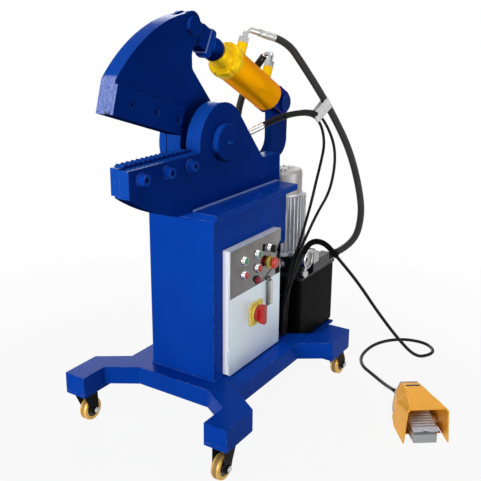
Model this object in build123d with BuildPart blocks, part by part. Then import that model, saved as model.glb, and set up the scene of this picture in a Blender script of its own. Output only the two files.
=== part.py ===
"""Alligator shear on a wheeled pedestal, with its power pack, control box and foot switch.

Millimetres. X runs from the mouth (-) to the tail (+), -Y is the control side, Z is up, and the
origin lies on the floor at the middle of the four casters.
"""
import math
import os

from build123d import *

os.makedirs("parts", exist_ok=True)

# Fits
run_fit = 0.05
side_fit = 0.4

# Base frame and casters
base_top = 178
skirt_low = 120
skirt_t = 6
deck_t = 10
base_quarter = [(240, 131), (300, 225), (394, 225), (394, 301), (260, 301), (192, 203)]
foot_x = 327
foot_y = 263
foot_len = 134
foot_wid = 76
foot_plate_t = 11
tray_x0 = 150
tray_x1 = 560
tray_half_y = 160
tray_t = 8
king_front_x = -348
king_rear_x = 358
king_y = 263
king_r = 6
king_low = 84
caster_plate_len = 70
caster_plate_wid = 60
caster_plate_t = 3.5
wheel_r = 37.5
wheel_w = 28
wheel_axle_r = 6
caster_trails = {"fl": 15, "fr": -14, "rl": 22, "rr": 36}
crown_r = 26
crown_low = 93
fork_leg_t = 4
fork_leg_w = 34

# Column and top plate
column_x0 = -187
column_x1 = 205
column_half_y = 118
column_wall = 6
column_top = 682
gusset_x1 = 258
gusset_z0 = 505
gusset_chamfer = 10
gusset_t = 8
gusset_y = 104
top_x1 = 300
top_half_y = 128
top_z = 702
top_bolts = [(70, -110), (230, 110)]

# Shear plates, stacked along Y
near_y0 = -45
near_y1 = 5
seat_y = -14
low_blade_y1 = 17
jaw_y0 = 27
jaw_y1 = 77
up_blade_y0 = 17.6
up_blade_y1 = 47.6
cheek_y0 = 80
cheek_y1 = 105
tail_y0 = 38
tail_y1 = 66
cyl_y = 52

# Pins of the linkage (x, z)
pivot_x = -27
pivot_z = 882
rod_pin_x = -78
rod_pin_z = 1219
tail_pin_x = 445
tail_pin_z = 950
pivot_r = 45
ear_r = 119

# Lower jaw outline
tip_x = -460
tip_low_z = 793
jaw_top_z = 868
belly_mid = (-375, 745)
belly_end_x = -255
near_rear_x = 322
shelf_z = 798
slope_angle = 41.6
notch_r = 30
low_blade_x1 = -150
low_blade_z0 = 798
low_blade_top = 872
tooth_pitch = 20
tooth_h = 7
tooth_count = 14
tooth_x0 = -445
low_bolt_xs = [-414, -307, -200]
low_bolt_z = 840
low_bolt_r = 10

# Upper jaw outline and blade
up_tip = (-440, 1005)
up_tip_top = (-413, 1092)
up_throat = (-142.5, 910.8)
up_blade_len = 298
up_blade_h = 80
up_bolt_first = 70
up_bolt_inset = 22
up_bolt_up = 41
up_bolt_r = 9
bush_r = 55
rod_hole_r = 23.2

# Cylinder, measured along its axis from the tail pin
barrel_r = 54
bore_r = 43
barrel_s0 = 58
barrel_s1 = 336
bore_s0 = 80
clevis_r = 40
clevis_half = 42
clevis_gap = 14.5
tail_pin_r = 22
flange_r = 61
flange_s1 = 367
flange_bolt_ring = 51
collar_r = 43
collar_s1 = 414
spigot_len = 24
rod_r = 25
piston_s0 = 112
piston_s1 = 150
eye_s0 = 420
eye_neck_r = 40
eye_block_s0 = 456
eye_block_s1 = 502
eye_body_s1 = 535
eye_block_h = 94
eye_block_w = 48
eye_h = 76
eye_body_w = 45
tongue_w = 26
tongue_slot_w = 27
tongue_slot_r = 64
rod_tip_r = 18
rod_tip_s1 = 455
rod_pin_r = 20
rod_pin_head_r = 27
rod_pin_head_t = 9
port_front_s = 285
port_rear_s = 98
port_r = 17
port_top = 88
port_nut_t = 20
port_nut_r = 19
pipe_r = 7.5
ferrule_r = 12.5
front_pipe_up = 140
rear_pipe_up = 136

# Control box
box_x0 = -139
box_x1 = 161
box_z0 = 184
box_z1 = 584
box_y0 = -139
box_y1 = 10
box_wall = 2
door_y0 = -144
door_y1 = -139.4
hinge_x = -142.5
hinge_y = -141.5
knuckle_r = 3.5
button_r = 11
bezel_r = 14.5
bezel_y0 = -148
green_left = (-62, 535)
green_right = (16, 535)
selector_at = (90, 536)
red_left = (-62, 490)
red_right = (16, 490)
estop_at = (94, 487)
lamp_at = (14, 451)
isolator_at = (8, 342)
isolator_plate = 74
lock_at = (86, 390)
lock_half = 42

# Power pack
tank_x0 = 298
tank_x1 = 567
tank_y0 = -150
tank_y1 = 126
tank_top = 358
tank_wall = 6
tank_round = 12
lid_top = 366
motor_x = 402
motor_y = -12
shaft_r = 12
motor_z0 = 424
motor_flange_z1 = 438
motor_z1 = 642
motor_r = 69
fin_r = 87
cowl_r = 71
cowl_top = 724
fan_low = motor_z1 + 6
fan_high = cowl_top - 30
terminal_z = 616
terminal_wid = 62
terminal_h = 44
terminal_out = 34
stator_r = 42
rotor_r = 41
gauge_x = 325
gauge_y0 = -165
gauge_y1 = -139
gauge_z = 432
gauge_r = 31

# Foot switch, in its own turned frame with the origin under the middle of its front edge
foot_at = (122, -683)
foot_turn = -53
hood_wall = 4
hood_sections = [
    (0, (71, 3), (64, 108), (57, 118)),
    (95, (71, 3), (67, 90), (36, 117)),
    (122, (70, 24), (57, 80), (32, 117)),
    (160, (54, 24), (47, 80), (29, 112)),
    (190, (48, 24), (43, 72), (27, 104)),
]
hood_hollow = [
    (-1, (67, -2), (60, 105), (54, 114)),
    (95, (67, -2), (63, 88), (33, 113)),
    (122, (66, 12), (53, 78), (29, 113)),
    (160, (50, 12), (43, 78), (26, 108)),
    (186, (44, 12), (39, 70), (24, 100)),
]
foot_base_half = 36
foot_base_h = 28
foot_rear_y = 138
foot_rear_h = 24
treadle_half = 38
treadle_axis_y = 118
treadle_axis_z = 48
gland_x = -32
gland_z = 66
gland_r = 9
gland_len = 13
gland_drop = 0.35

# Cords
hose_r = 11
sensor_cable_r = 5
foot_cable_r = 5.5
hose_a_start = (345, 10, 1178)
hose_a_end = (545, -157, 392)
hose_b_bend = (436, 82, 1120)
hose_b_start = (432, 110, 1083)
hose_b_end = (434, 112, 460)

# Directions of the cylinder
rod_span = math.hypot(rod_pin_x - tail_pin_x, rod_pin_z - tail_pin_z)
along = ((rod_pin_x - tail_pin_x) / rod_span, 0, (rod_pin_z - tail_pin_z) / rod_span)
across = (along[2], 0, -along[0])
cyl_plane = Plane(origin=(tail_pin_x, cyl_y, tail_pin_z), x_dir=(0, 1, 0), z_dir=along)
turn_to = {"X": (0, 90, 0), "Y": (90, 0, 0), "Z": (0, 0, 0)}


def block(x0, x1, y0, y1, z0, z1, mode=Mode.ADD):
    """Box between two corners, in the active builder."""
    with Locations(((x0 + x1) / 2, (y0 + y1) / 2, (z0 + z1) / 2)):
        Box(x1 - x0, y1 - y0, z1 - z0, mode=mode)


def bar(axis, a, b, c0, c1, r, mode=Mode.ADD):
    """Round bar along an axis from c0 to c1; a and b are its other two coordinates in XYZ order."""
    mid = (c0 + c1) / 2
    at = {"X": (mid, a, b), "Y": (a, mid, b), "Z": (a, b, mid)}[axis]
    with Locations(Location(at, turn_to[axis])):
        Cylinder(r, c1 - c0, mode=mode)


def cyl_point(s, up, y=cyl_y):
    """Point at s along the cylinder axis and up across it."""
    return (tail_pin_x + along[0] * s + across[0] * up, y, tail_pin_z + along[2] * s + across[2] * up)


def save(piece, name):
    """Label a finished piece and write it."""
    piece.part.label = name
    export_step(piece.part, f"parts/{name}.step")


# Base frame: folded deck on four splayed feet, and the tank tray under it
q = base_quarter
outline = q + [(-x, y) for x, y in reversed(q)]
outline = outline + [(-x, -y) for x, y in outline]
with BuildPart() as base_frame:
    with BuildSketch(Plane.XY.offset(skirt_low)):
        with BuildLine():
            Polyline(*outline, close=True)
        make_face()
    extrude(amount=base_top - skirt_low)
    with BuildSketch(Plane.XY.offset(skirt_low)):
        with BuildLine():
            Polyline(*outline, close=True)
        make_face()
        offset(amount=-skirt_t, kind=Kind.INTERSECTION, mode=Mode.REPLACE)
    extrude(amount=base_top - skirt_low - deck_t, mode=Mode.SUBTRACT)
    block(tray_x0, tray_x1, -tray_half_y, tray_half_y, skirt_low - tray_t, skirt_low)
save(base_frame, "base_frame")

# Caster plates with the casters' fixed top plates, king pins and bolts
with BuildPart() as caster_plates:
    for side_x, king_x in ((-1, king_front_x), (1, king_rear_x)):
        for side_y in (-1, 1):
            low = skirt_low - foot_plate_t
            cx = side_x * foot_x
            cy = side_y * foot_y
            ky = side_y * king_y
            half_x = foot_len / 2
            half_y = foot_wid / 2
            block(cx - half_x, cx + half_x, cy - half_y, cy + half_y, low, skirt_low)
            px = caster_plate_len / 2
            py = caster_plate_wid / 2
            block(king_x - px, king_x + px, ky - py, ky + py, low - caster_plate_t, low)
            bar("Z", king_x, ky, king_low, low, king_r)
            bar("Z", king_x, ky, king_low, crown_low - 1, king_r + 4)
            for bx in (-27, 27):
                for by in (-22, 22):
                    bar("Z", king_x + bx, ky + by, low - caster_plate_t - 4, low, 5)
save(caster_plates, "caster_plates")


def caster(tag, king_x, ky, trail):
    """Swivel fork and wheel of one caster."""
    plate_low = skirt_low - foot_plate_t - caster_plate_t
    axle_x = king_x + trail
    inner = wheel_w / 2 + 2
    outer = inner + fork_leg_t
    with BuildPart() as fork:
        with BuildSketch(Plane.XY.offset(crown_low)):
            with Locations((king_x, ky)):
                Circle(crown_r)
                Circle(king_r + run_fit, mode=Mode.SUBTRACT)
        extrude(amount=plate_low - side_fit - crown_low)
        for side in (-1, 1):
            y_at = ky + side * outer if side > 0 else ky - inner
            with BuildSketch(Plane.XZ.offset(-y_at)):
                with BuildLine():
                    Polyline(
                        (king_x - crown_r * 0.72, crown_low + 4),
                        (king_x + crown_r * 0.72, crown_low + 4),
                        (axle_x + fork_leg_w / 2, wheel_r + 6),
                        (axle_x + 9, wheel_r - 13),
                        (axle_x - 9, wheel_r - 13),
                        (axle_x - fork_leg_w / 2, wheel_r + 6),
                        close=True,
                    )
                make_face()
            extrude(amount=fork_leg_t)
        bar("Y", axle_x, wheel_r, ky - outer - 5, ky + outer + 5, wheel_axle_r)
        for side in (-1, 1):
            near = ky + side * outer
            far = ky + side * (outer + 5)
            bar("Y", axle_x, wheel_r, min(near, far), max(near, far), 10)
    save(fork, f"caster_fork_{tag}")

    with BuildPart() as wheel:
        half = wheel_w / 2
        with BuildSketch(Plane.YZ.offset(axle_x)):
            with BuildLine():
                Polyline(
                    (ky - half, wheel_r + wheel_axle_r + run_fit),
                    (ky + half, wheel_r + wheel_axle_r + run_fit),
                    (ky + half, wheel_r + 14),
                    (ky + half - 4, wheel_r + 15),
                    (ky + half - 4, wheel_r + 24),
                    (ky + half, wheel_r + 26),
                    (ky + half, 2 * wheel_r - 5),
                    (ky + half - 5, 2 * wheel_r),
                    (ky - half + 5, 2 * wheel_r),
                    (ky - half, 2 * wheel_r - 5),
                    (ky - half, wheel_r + 26),
                    (ky - half + 4, wheel_r + 24),
                    (ky - half + 4, wheel_r + 15),
                    (ky - half, wheel_r + 14),
                    close=True,
                )
            make_face()
        revolve(axis=Axis((axle_x, ky, wheel_r), (0, 1, 0)))
    save(wheel, f"caster_wheel_{tag}")


caster("fl", king_front_x, king_y, caster_trails["fl"])
caster("fr", king_front_x, -king_y, caster_trails["fr"])
caster("rl", king_rear_x, king_y, caster_trails["rl"])
caster("rr", king_rear_x, -king_y, caster_trails["rr"])

# Column: sheet-metal box with the control box let into its near wall
with BuildPart() as column:
    inner_x0 = column_x0 + column_wall
    inner_x1 = column_x1 - column_wall
    inner_y = column_half_y - column_wall
    block(column_x0, column_x1, -column_half_y, column_half_y, base_top, column_top)
    block(inner_x0, inner_x1, -inner_y, inner_y, base_top, column_top, Mode.SUBTRACT)
    block(box_x0, box_x1, -column_half_y, -inner_y, box_z0, box_z1, Mode.SUBTRACT)
    for side in (-1, 1):
        g0 = side * gusset_y - gusset_t / 2
        with BuildSketch(Plane.XZ.offset(-g0 - gusset_t)):
            with BuildLine():
                Polyline(
                    (column_x1, gusset_z0),
                    (gusset_x1 - gusset_chamfer, gusset_z0),
                    (gusset_x1, gusset_z0 + gusset_chamfer),
                    (gusset_x1, column_top),
                    (column_x1, column_top),
                    close=True,
                )
            make_face()
        extrude(amount=gusset_t)
save(column, "column")

# Top plate with two bolts
with BuildPart() as top_plate:
    block(column_x0, top_x1, -top_half_y, top_half_y, column_top, top_z)
    with BuildSketch(Plane.XY.offset(top_z)):
        with Locations(*top_bolts):
            RegularPolygon(13, 6)
    extrude(amount=11)
save(top_plate, "top_plate")

# Lower jaw: near plate with belly, pivot ear and blade seat
slope_rad = math.radians(slope_angle)
slope_top = (pivot_x + ear_r * math.cos(slope_rad), pivot_z + ear_r * math.sin(slope_rad))
slope_run = (slope_top[1] - shelf_z) * math.tan(slope_rad)
slope_foot = (slope_top[0] + slope_run, shelf_z)
throat = (pivot_x - math.sqrt(ear_r**2 - (pivot_z - jaw_top_z) ** 2), jaw_top_z)
with BuildPart() as lower_jaw:
    with BuildSketch(Plane.XZ.offset(-near_y1)):
        with BuildLine():
            Line((tip_x, jaw_top_z), (tip_x, tip_low_z))
            ThreePointArc((tip_x, tip_low_z), belly_mid, (belly_end_x, top_z))
            Polyline(
                (belly_end_x, top_z),
                (near_rear_x, top_z),
                (near_rear_x, shelf_z),
                slope_foot,
                slope_top,
            )
            ThreePointArc(slope_top, (pivot_x, pivot_z + ear_r), throat)
            Line(throat, (tip_x, jaw_top_z))
        make_face()
    extrude(amount=near_y1 - near_y0)
    cross_edges = lower_jaw.edges().filter_by(Axis.Y)
    fillet(cross_edges.sort_by_distance((slope_foot[0], 0, shelf_z))[0], notch_r)
    cross_edges = lower_jaw.edges().filter_by(Axis.Y)
    fillet(cross_edges.sort_by_distance((near_rear_x, 0, shelf_z))[0], notch_r / 2)
    block(tip_x, low_blade_x1, seat_y, near_y1, low_blade_z0, jaw_top_z, Mode.SUBTRACT)
    bar("Y", pivot_x, pivot_z, near_y0, near_y1, pivot_r + run_fit, Mode.SUBTRACT)
    for bolt_x in low_bolt_xs:
        bar("Y", bolt_x, low_bolt_z, near_y0, near_y1, low_bolt_r + side_fit, Mode.SUBTRACT)
save(lower_jaw, "lower_jaw")

# Lower blade with teeth along its top edge
with BuildPart() as lower_blade:
    teeth = []
    for i in range(tooth_count):
        x = tooth_x0 + i * tooth_pitch
        teeth += [(x, low_blade_top), (x + tooth_pitch / 2, low_blade_top + tooth_h)]
    with BuildSketch(Plane.XZ.offset(-low_blade_y1)):
        with BuildLine():
            Polyline(
                (tip_x, low_blade_z0),
                (tip_x, low_blade_top),
                *teeth,
                (tooth_x0 + tooth_count * tooth_pitch, low_blade_top),
                (low_blade_x1, low_blade_top),
                (low_blade_x1, low_blade_z0),
                close=True,
            )
        make_face()
    extrude(amount=low_blade_y1 - seat_y)
    for bolt_x in low_bolt_xs:
        bar("Y", bolt_x, low_bolt_z, seat_y, seat_y + 22, low_bolt_r + side_fit, Mode.SUBTRACT)
save(lower_blade, "lower_blade")

with BuildPart() as lower_blade_bolts:
    for bolt_x in low_bolt_xs:
        bar("Y", bolt_x, low_bolt_z, near_y0, seat_y + 22, low_bolt_r)
        bar("Y", bolt_x, low_bolt_z, near_y0 - 4, near_y0, 19)
        bar("Y", bolt_x, low_bolt_z, near_y0 - 24, near_y0 - 4, 15)
        with BuildSketch(Plane(origin=(bolt_x, near_y0 - 24, low_bolt_z), z_dir=(0, -1, 0))):
            RegularPolygon(8, 6)
        extrude(amount=-10, mode=Mode.SUBTRACT)
save(lower_blade_bolts, "lower_blade_bolts")

# Far cheek: second ear of the pivot
with BuildPart() as far_cheek:
    with BuildSketch(Plane.XZ.offset(-cheek_y1)):
        with Locations((pivot_x, pivot_z)):
            Circle(ear_r)
        with BuildLine():
            Polyline(
                (pivot_x - ear_r, pivot_z),
                (pivot_x + ear_r, pivot_z),
                (pivot_x + ear_r + 70, top_z),
                (pivot_x - ear_r + 40, top_z),
                close=True,
            )
        make_face()
        with Locations((pivot_x, pivot_z)):
            Circle(pivot_r + run_fit, mode=Mode.SUBTRACT)
    extrude(amount=cheek_y1 - cheek_y0)
save(far_cheek, "far_cheek")

# Tail plate: carries the tail pin of the cylinder
with BuildPart() as tail_plate:
    with BuildSketch(Plane.XZ.offset(-tail_y1)):
        crown = [
            (tail_pin_x + clevis_r * math.cos(a), tail_pin_z + clevis_r * math.sin(a))
            for a in (math.radians(40), math.radians(110), math.radians(180))
        ]
        with BuildLine():
            Polyline((130, top_z), (300, top_z), (345, 752), (450, 752))
            ThreePointArc((450, 752), (499, 774), (515, 825))
            Polyline((515, 825), (517, 890), crown[0])
            ThreePointArc(*crown)
            Polyline(crown[2], (405, 775), (130, 775), (130, top_z))
        make_face()
    extrude(amount=tail_y1 - tail_y0)
    corner = tail_plate.edges().filter_by(Axis.Y).sort_by_distance((405, cyl_y, 775))[0]
    fillet(corner, 60)
    bar("Y", tail_pin_x, tail_pin_z, tail_y0, tail_y1, tail_pin_r + run_fit, Mode.SUBTRACT)
save(tail_plate, "tail_plate")

# Pivot pin with head, grease nipple, thrust collar, far washer and round nut
with BuildPart() as pivot_pin:
    bar("Y", pivot_x, pivot_z, near_y0, cheek_y1 + 24, pivot_r)
    bar("Y", pivot_x, pivot_z, near_y0 - 21, near_y0, 57)
    head_edge = pivot_pin.edges().filter_by(GeomType.CIRCLE).sort_by(Axis.Y)[0]
    chamfer(head_edge, 4)
    bar("Y", pivot_x, pivot_z, near_y0 - 27, near_y0 - 21, 8)
    bar("Y", pivot_x, pivot_z, near_y0 - 35, near_y0 - 27, 4)
    bar("Y", pivot_x, pivot_z, near_y1, jaw_y0 - 2 * side_fit, 62)
    bar("Y", pivot_x, pivot_z, jaw_y1 + side_fit, cheek_y0, 62)
    with BuildSketch(Plane.XZ.offset(-cheek_y1 - 24)):
        with Locations((pivot_x, pivot_z)):
            RegularPolygon(66, 6)
    extrude(amount=24)
save(pivot_pin, "pivot_pin")

with BuildPart() as tail_pin:
    pin_y0 = cyl_y - clevis_half
    pin_y1 = cyl_y + clevis_half
    bar("Y", tail_pin_x, tail_pin_z, pin_y0, pin_y1, tail_pin_r)
    bar("Y", tail_pin_x, tail_pin_z, pin_y0 - 8, pin_y0 - side_fit, tail_pin_r + 8)
    bar("Y", tail_pin_x, tail_pin_z, pin_y1 + side_fit, pin_y1 + 8, tail_pin_r + 8)
    bar("Y", tail_pin_x, tail_pin_z, pin_y0 - 8, pin_y1 + 8, tail_pin_r - 8)
save(tail_pin, "tail_pin")

# Upper jaw: curved arm with hub, nose and blade seat
up_bolt_last = up_blade_len - up_bolt_inset
up_bolt_along = [up_bolt_first, (up_bolt_first + up_bolt_last) / 2, up_bolt_last]
edge_len = math.hypot(up_throat[0] - up_tip[0], up_throat[1] - up_tip[1])
edge_dir = ((up_throat[0] - up_tip[0]) / edge_len, 0, (up_throat[1] - up_tip[1]) / edge_len)
blade_plane = Plane(origin=(up_tip[0], up_blade_y1, up_tip[1]), x_dir=edge_dir, z_dir=(0, -1, 0))
bolt_plane = Plane(origin=(up_tip[0], up_blade_y0, up_tip[1]), x_dir=edge_dir, z_dir=(0, -1, 0))
with BuildPart() as upper_jaw:
    with BuildSketch(Plane.XZ.offset(-jaw_y1)):
        with BuildLine():
            Line(up_tip, up_tip_top)
            ThreePointArc(up_tip_top, (-275, 1200), (-99, 1255.4))
            ThreePointArc((-99, 1255.4), (-41.6, 1240), (-57, 1182.6))
            Polyline((-57, 1182.6), (-82, 1141), (-81, 1098), (15.6, 993))
            ThreePointArc((15.6, 993), (pivot_x, pivot_z - ear_r), up_throat)
            Line(up_throat, up_tip)
        make_face()
    extrude(amount=jaw_y1 - jaw_y0)
    for at in ((-82, cyl_y, 1141), (-81, cyl_y, 1098), (15.6, cyl_y, 993)):
        fillet(upper_jaw.edges().filter_by(Axis.Y).sort_by_distance(at)[0], 22)
    with BuildSketch(blade_plane):
        Rectangle(up_blade_len, up_blade_h, align=(Align.MIN, Align.MIN))
    extrude(amount=up_blade_y1 - jaw_y0, mode=Mode.SUBTRACT)
    bar("Y", pivot_x, pivot_z, jaw_y0, jaw_y1, bush_r, Mode.SUBTRACT)
    bar("Y", rod_pin_x, rod_pin_z, jaw_y0, jaw_y1, rod_hole_r, Mode.SUBTRACT)
    slot_y0 = cyl_y - tongue_slot_w / 2
    bar("Y", rod_pin_x, rod_pin_z, slot_y0, slot_y0 + tongue_slot_w, tongue_slot_r, Mode.SUBTRACT)
    with BuildSketch(blade_plane):
        with Locations(*[(s, up_bolt_up) for s in up_bolt_along]):
            Circle(up_bolt_r + side_fit)
    extrude(amount=up_blade_y1 - jaw_y1, mode=Mode.SUBTRACT)
save(upper_jaw, "upper_jaw")

with BuildPart() as jaw_bush:
    with BuildSketch(Plane.XZ.offset(-jaw_y1)):
        with Locations((pivot_x, pivot_z)):
            Circle(bush_r)
            Circle(pivot_r + run_fit, mode=Mode.SUBTRACT)
    extrude(amount=jaw_y1 - jaw_y0)
save(jaw_bush, "jaw_bush")

with BuildPart() as upper_blade:
    with BuildSketch(blade_plane):
        Rectangle(up_blade_len, up_blade_h, align=(Align.MIN, Align.MIN))
        with Locations(*[(s, up_bolt_up) for s in up_bolt_along]):
            Circle(up_bolt_r + side_fit, mode=Mode.SUBTRACT)
    extrude(amount=up_blade_y1 - up_blade_y0)
    with BuildSketch(bolt_plane):
        with Locations(*[(s, up_bolt_up) for s in up_bolt_along]):
            Circle(14)
    extrude(amount=-11, mode=Mode.SUBTRACT)
save(upper_blade, "upper_blade")

with BuildPart() as upper_blade_bolts:
    with BuildSketch(bolt_plane.offset(-1)):
        with Locations(*[(s, up_bolt_up) for s in up_bolt_along]):
            Circle(13)
    extrude(amount=-10)
    with BuildSketch(bolt_plane.offset(-11)):
        with Locations(*[(s, up_bolt_up) for s in up_bolt_along]):
            Circle(up_bolt_r)
    extrude(amount=up_blade_y0 + 11 - jaw_y1 - 12)
    with BuildSketch(bolt_plane.offset(up_blade_y0 - jaw_y1 - 12)):
        with Locations(*[(s, up_bolt_up) for s in up_bolt_along]):
            RegularPolygon(16, 6)
    extrude(amount=12)
    with BuildSketch(bolt_plane.offset(-1)):
        with Locations(*[(s, up_bolt_up) for s in up_bolt_along]):
            RegularPolygon(7, 6)
    extrude(amount=-6, mode=Mode.SUBTRACT)
save(upper_blade_bolts, "upper_blade_bolts")

# Cylinder barrel with its tail clevis and two port bosses
with BuildPart(cyl_plane) as cylinder_barrel:
    with BuildSketch(cyl_plane.offset(barrel_s0)):
        Circle(barrel_r)
    extrude(amount=barrel_s1 - barrel_s0)
    for x0, x1 in ((-clevis_half, -clevis_gap), (clevis_gap, clevis_half)):
        bar("X", 0, 0, x0, x1, clevis_r)
        block(x0, x1, -clevis_r, clevis_r, 0, barrel_s0)
        bar("X", 0, 0, x0, x1, tail_pin_r + run_fit, Mode.SUBTRACT)
    for s in (port_front_s, port_rear_s):
        bar("Y", 0, s, -port_top, -barrel_r + 6, port_r)
    bar("Z", 0, 0, bore_s0, barrel_s1, bore_r, Mode.SUBTRACT)
    for s in (port_front_s, port_rear_s):
        bar("Y", 0, s, -port_top, -bore_r + 2, 8, Mode.SUBTRACT)
save(cylinder_barrel, "cylinder_barrel")

# Gland: scalloped flange with bolts, collar and spigot
with BuildPart(cyl_plane) as cylinder_gland:
    bar("Z", 0, 0, barrel_s1 - spigot_len, barrel_s1, bore_r - run_fit)
    bar("Z", 0, 0, barrel_s1, flange_s1, flange_r)
    with BuildSketch(cyl_plane.offset(barrel_s1)):
        with PolarLocations(flange_r + 9, 6, start_angle=30):
            Circle(19)
    extrude(amount=flange_s1 - barrel_s1, mode=Mode.SUBTRACT)
    bar("Z", 0, 0, flange_s1, collar_s1, collar_r)
    with BuildSketch(cyl_plane.offset(flange_s1)):
        with PolarLocations(flange_bolt_ring, 6):
            Circle(6.5)
    extrude(amount=8)
    bar("Z", 0, 0, barrel_s1 - spigot_len, collar_s1, rod_r + run_fit, Mode.SUBTRACT)
save(cylinder_gland, "cylinder_gland")

# Port fittings: nut, bent pipe and hose ferrule on each port
nut_top = port_top + port_nut_t
front_bend = cyl_point(port_front_s, front_pipe_up)
front_axis = tuple(b - a for a, b in zip(front_bend, hose_a_start))
rear_axis = tuple(b - a for a, b in zip(hose_b_bend, hose_b_start))
front_pipe = [cyl_point(port_front_s, nut_top - 4), front_bend, hose_a_start]
rear_pipe = [
    cyl_point(port_rear_s, nut_top - 4),
    cyl_point(port_rear_s, rear_pipe_up),
    hose_b_bend,
    hose_b_start,
]
with BuildPart() as port_fittings:
    for s in (port_front_s, port_rear_s):
        with BuildSketch(Plane(origin=cyl_point(s, port_top), x_dir=(0, 1, 0), z_dir=across)):
            RegularPolygon(port_nut_r, 6)
        extrude(amount=port_nut_t)
    for route, bend in ((front_pipe, 22), (rear_pipe, 13)):
        with BuildLine() as pipe_path:
            FilletPolyline(*route, radius=bend)
        with BuildSketch(Plane(origin=route[0], x_dir=(0, 1, 0), z_dir=across)):
            Circle(pipe_r)
        sweep(path=pipe_path.wires()[0])
    for end, axis, length in ((hose_a_start, front_axis, 52), (hose_b_start, rear_axis, 26)):
        ferrule = Plane(origin=end, z_dir=axis)
        with BuildSketch(ferrule):
            Circle(ferrule_r)
        extrude(amount=-length)
        with BuildSketch(ferrule.offset(-length)):
            RegularPolygon(ferrule_r + 1, 6)
        extrude(amount=10)
save(port_fittings, "port_fittings")

# Piston rod with piston, rod eye and pin
with BuildPart(cyl_plane) as piston_rod:
    bar("Z", 0, 0, piston_s0, piston_s1, bore_r - run_fit)
    bar("Z", 0, 0, piston_s1, eye_s0, rod_r)
    bar("Z", 0, 0, eye_s0, rod_tip_s1, rod_tip_r)
save(piston_rod, "piston_rod")

with BuildPart(cyl_plane) as rod_eye:
    block(
        -eye_block_w / 2,
        eye_block_w / 2,
        -eye_block_h / 2,
        eye_block_h / 2,
        eye_block_s0,
        eye_block_s1,
    )
    fillet(rod_eye.edges().filter_by(Axis.Y), 10)
    bar("Z", 0, 0, eye_s0, eye_block_s0, eye_neck_r)
    block(-eye_body_w / 2, eye_body_w / 2, -eye_h / 2, eye_h / 2, eye_block_s1, eye_body_s1)
    block(-tongue_w / 2, tongue_w / 2, -eye_h / 2, eye_h / 2, eye_body_s1, rod_span)
    bar("X", 0, rod_span, -tongue_w / 2, tongue_w / 2, eye_h / 2)
    bar("X", 0, rod_span, -tongue_w / 2, tongue_w / 2, rod_pin_r, Mode.SUBTRACT)
    bar("Z", 0, 0, eye_s0, rod_tip_s1, rod_tip_r, Mode.SUBTRACT)
save(rod_eye, "rod_eye")

with BuildPart(cyl_plane) as rod_pin:
    cheek = (jaw_y1 - jaw_y0) / 2 + side_fit
    bar("X", 0, rod_span, -cheek, cheek, rod_pin_r)
    bar("X", 0, rod_span, -cheek - rod_pin_head_t, -cheek, rod_pin_head_r)
    bar("X", 0, rod_span, cheek, cheek + rod_pin_head_t, rod_pin_head_r)
save(rod_pin, "rod_pin")

# Control box shell with door hinge pin, and the gear on its mounting plate
with BuildPart() as cabinet_shell:
    block(box_x0, box_x1, box_y0, box_y1, box_z0, box_z1)
    block(
        box_x0 + box_wall,
        box_x1 - box_wall,
        box_y0,
        box_y1 - box_wall,
        box_z0 + box_wall,
        box_z1 - box_wall,
        Mode.SUBTRACT,
    )
save(cabinet_shell, "cabinet_shell")

with BuildPart() as control_gear:
    block(-120, 142, 4, 8, 200, 568)
    for i in range(3):
        block(-100 + i * 62, -52 + i * 62, -70, 4, 440, 530)
    block(-100, 122, -40, 4, 380, 400)
    block(-90, -10, -60, 4, 250, 340)
    block(10, 112, -48, 4, 240, 330)
save(control_gear, "control_gear")

# Control box door: panel with stiffening fold, hinge knuckles, isolator plate and lock seat
with BuildPart() as cabinet_door:
    block(box_x0 - 1, box_x1 + 1, door_y0, door_y1, box_z0 - 1, box_z1 + 1)
    for z in (box_z0 + 40, box_z1 - 80):
        bar("Z", hinge_x, hinge_y, z, z + 40, knuckle_r)
    half = isolator_plate / 2
    cx, cz = isolator_at
    block(cx - half, cx + half, door_y0 - 5, door_y0, cz - half, cz + half)
    bar("Y", cx, cz, door_y0 - 11, door_y0 - 5, 27)
    lock_x, lock_z = lock_at
    seat_half = lock_half + 5
    block(lock_x - 10, lock_x + 10, door_y0 - 5, door_y0, lock_z - seat_half, lock_z + seat_half)
    for at in (green_left, green_right, red_left, red_right, selector_at, estop_at):
        bar("Y", at[0], at[1], door_y0, door_y1, button_r + 1, Mode.SUBTRACT)
    bar("Y", lamp_at[0], lamp_at[1], door_y0, door_y1, 7, Mode.SUBTRACT)
    bar("Y", cx, cz, door_y0 - 11, door_y1, 6 + run_fit, Mode.SUBTRACT)
    bar("Y", lock_at[0], lock_at[1], door_y0 - 5, door_y1, 6 + run_fit, Mode.SUBTRACT)
save(cabinet_door, "cabinet_door")

with BuildPart() as button_bezels:
    for at in (green_left, green_right, red_left, red_right, selector_at, estop_at):
        bar("Y", at[0], at[1], bezel_y0, door_y0, bezel_r)
        bar("Y", at[0], at[1], door_y0, door_y1 + 32, button_r + 1)
        bar("Y", at[0], at[1], bezel_y0, door_y1 + 30, button_r - 1, Mode.SUBTRACT)
save(button_bezels, "button_bezels")


def push_button(name, at, head_r, head_y0, head_y1):
    """Button cap with the plunger that runs in its bezel."""
    with BuildPart() as button:
        bar("Y", at[0], at[1], head_y0, door_y1 + 20, button_r - 1 - run_fit)
        if head_r > button_r:
            bar("Y", at[0], at[1], head_y0, head_y1, head_r)
            rim = button.edges().filter_by(GeomType.CIRCLE).sort_by(Axis.Y)[0]
            fillet(rim, 6)
    save(button, name)


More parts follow.
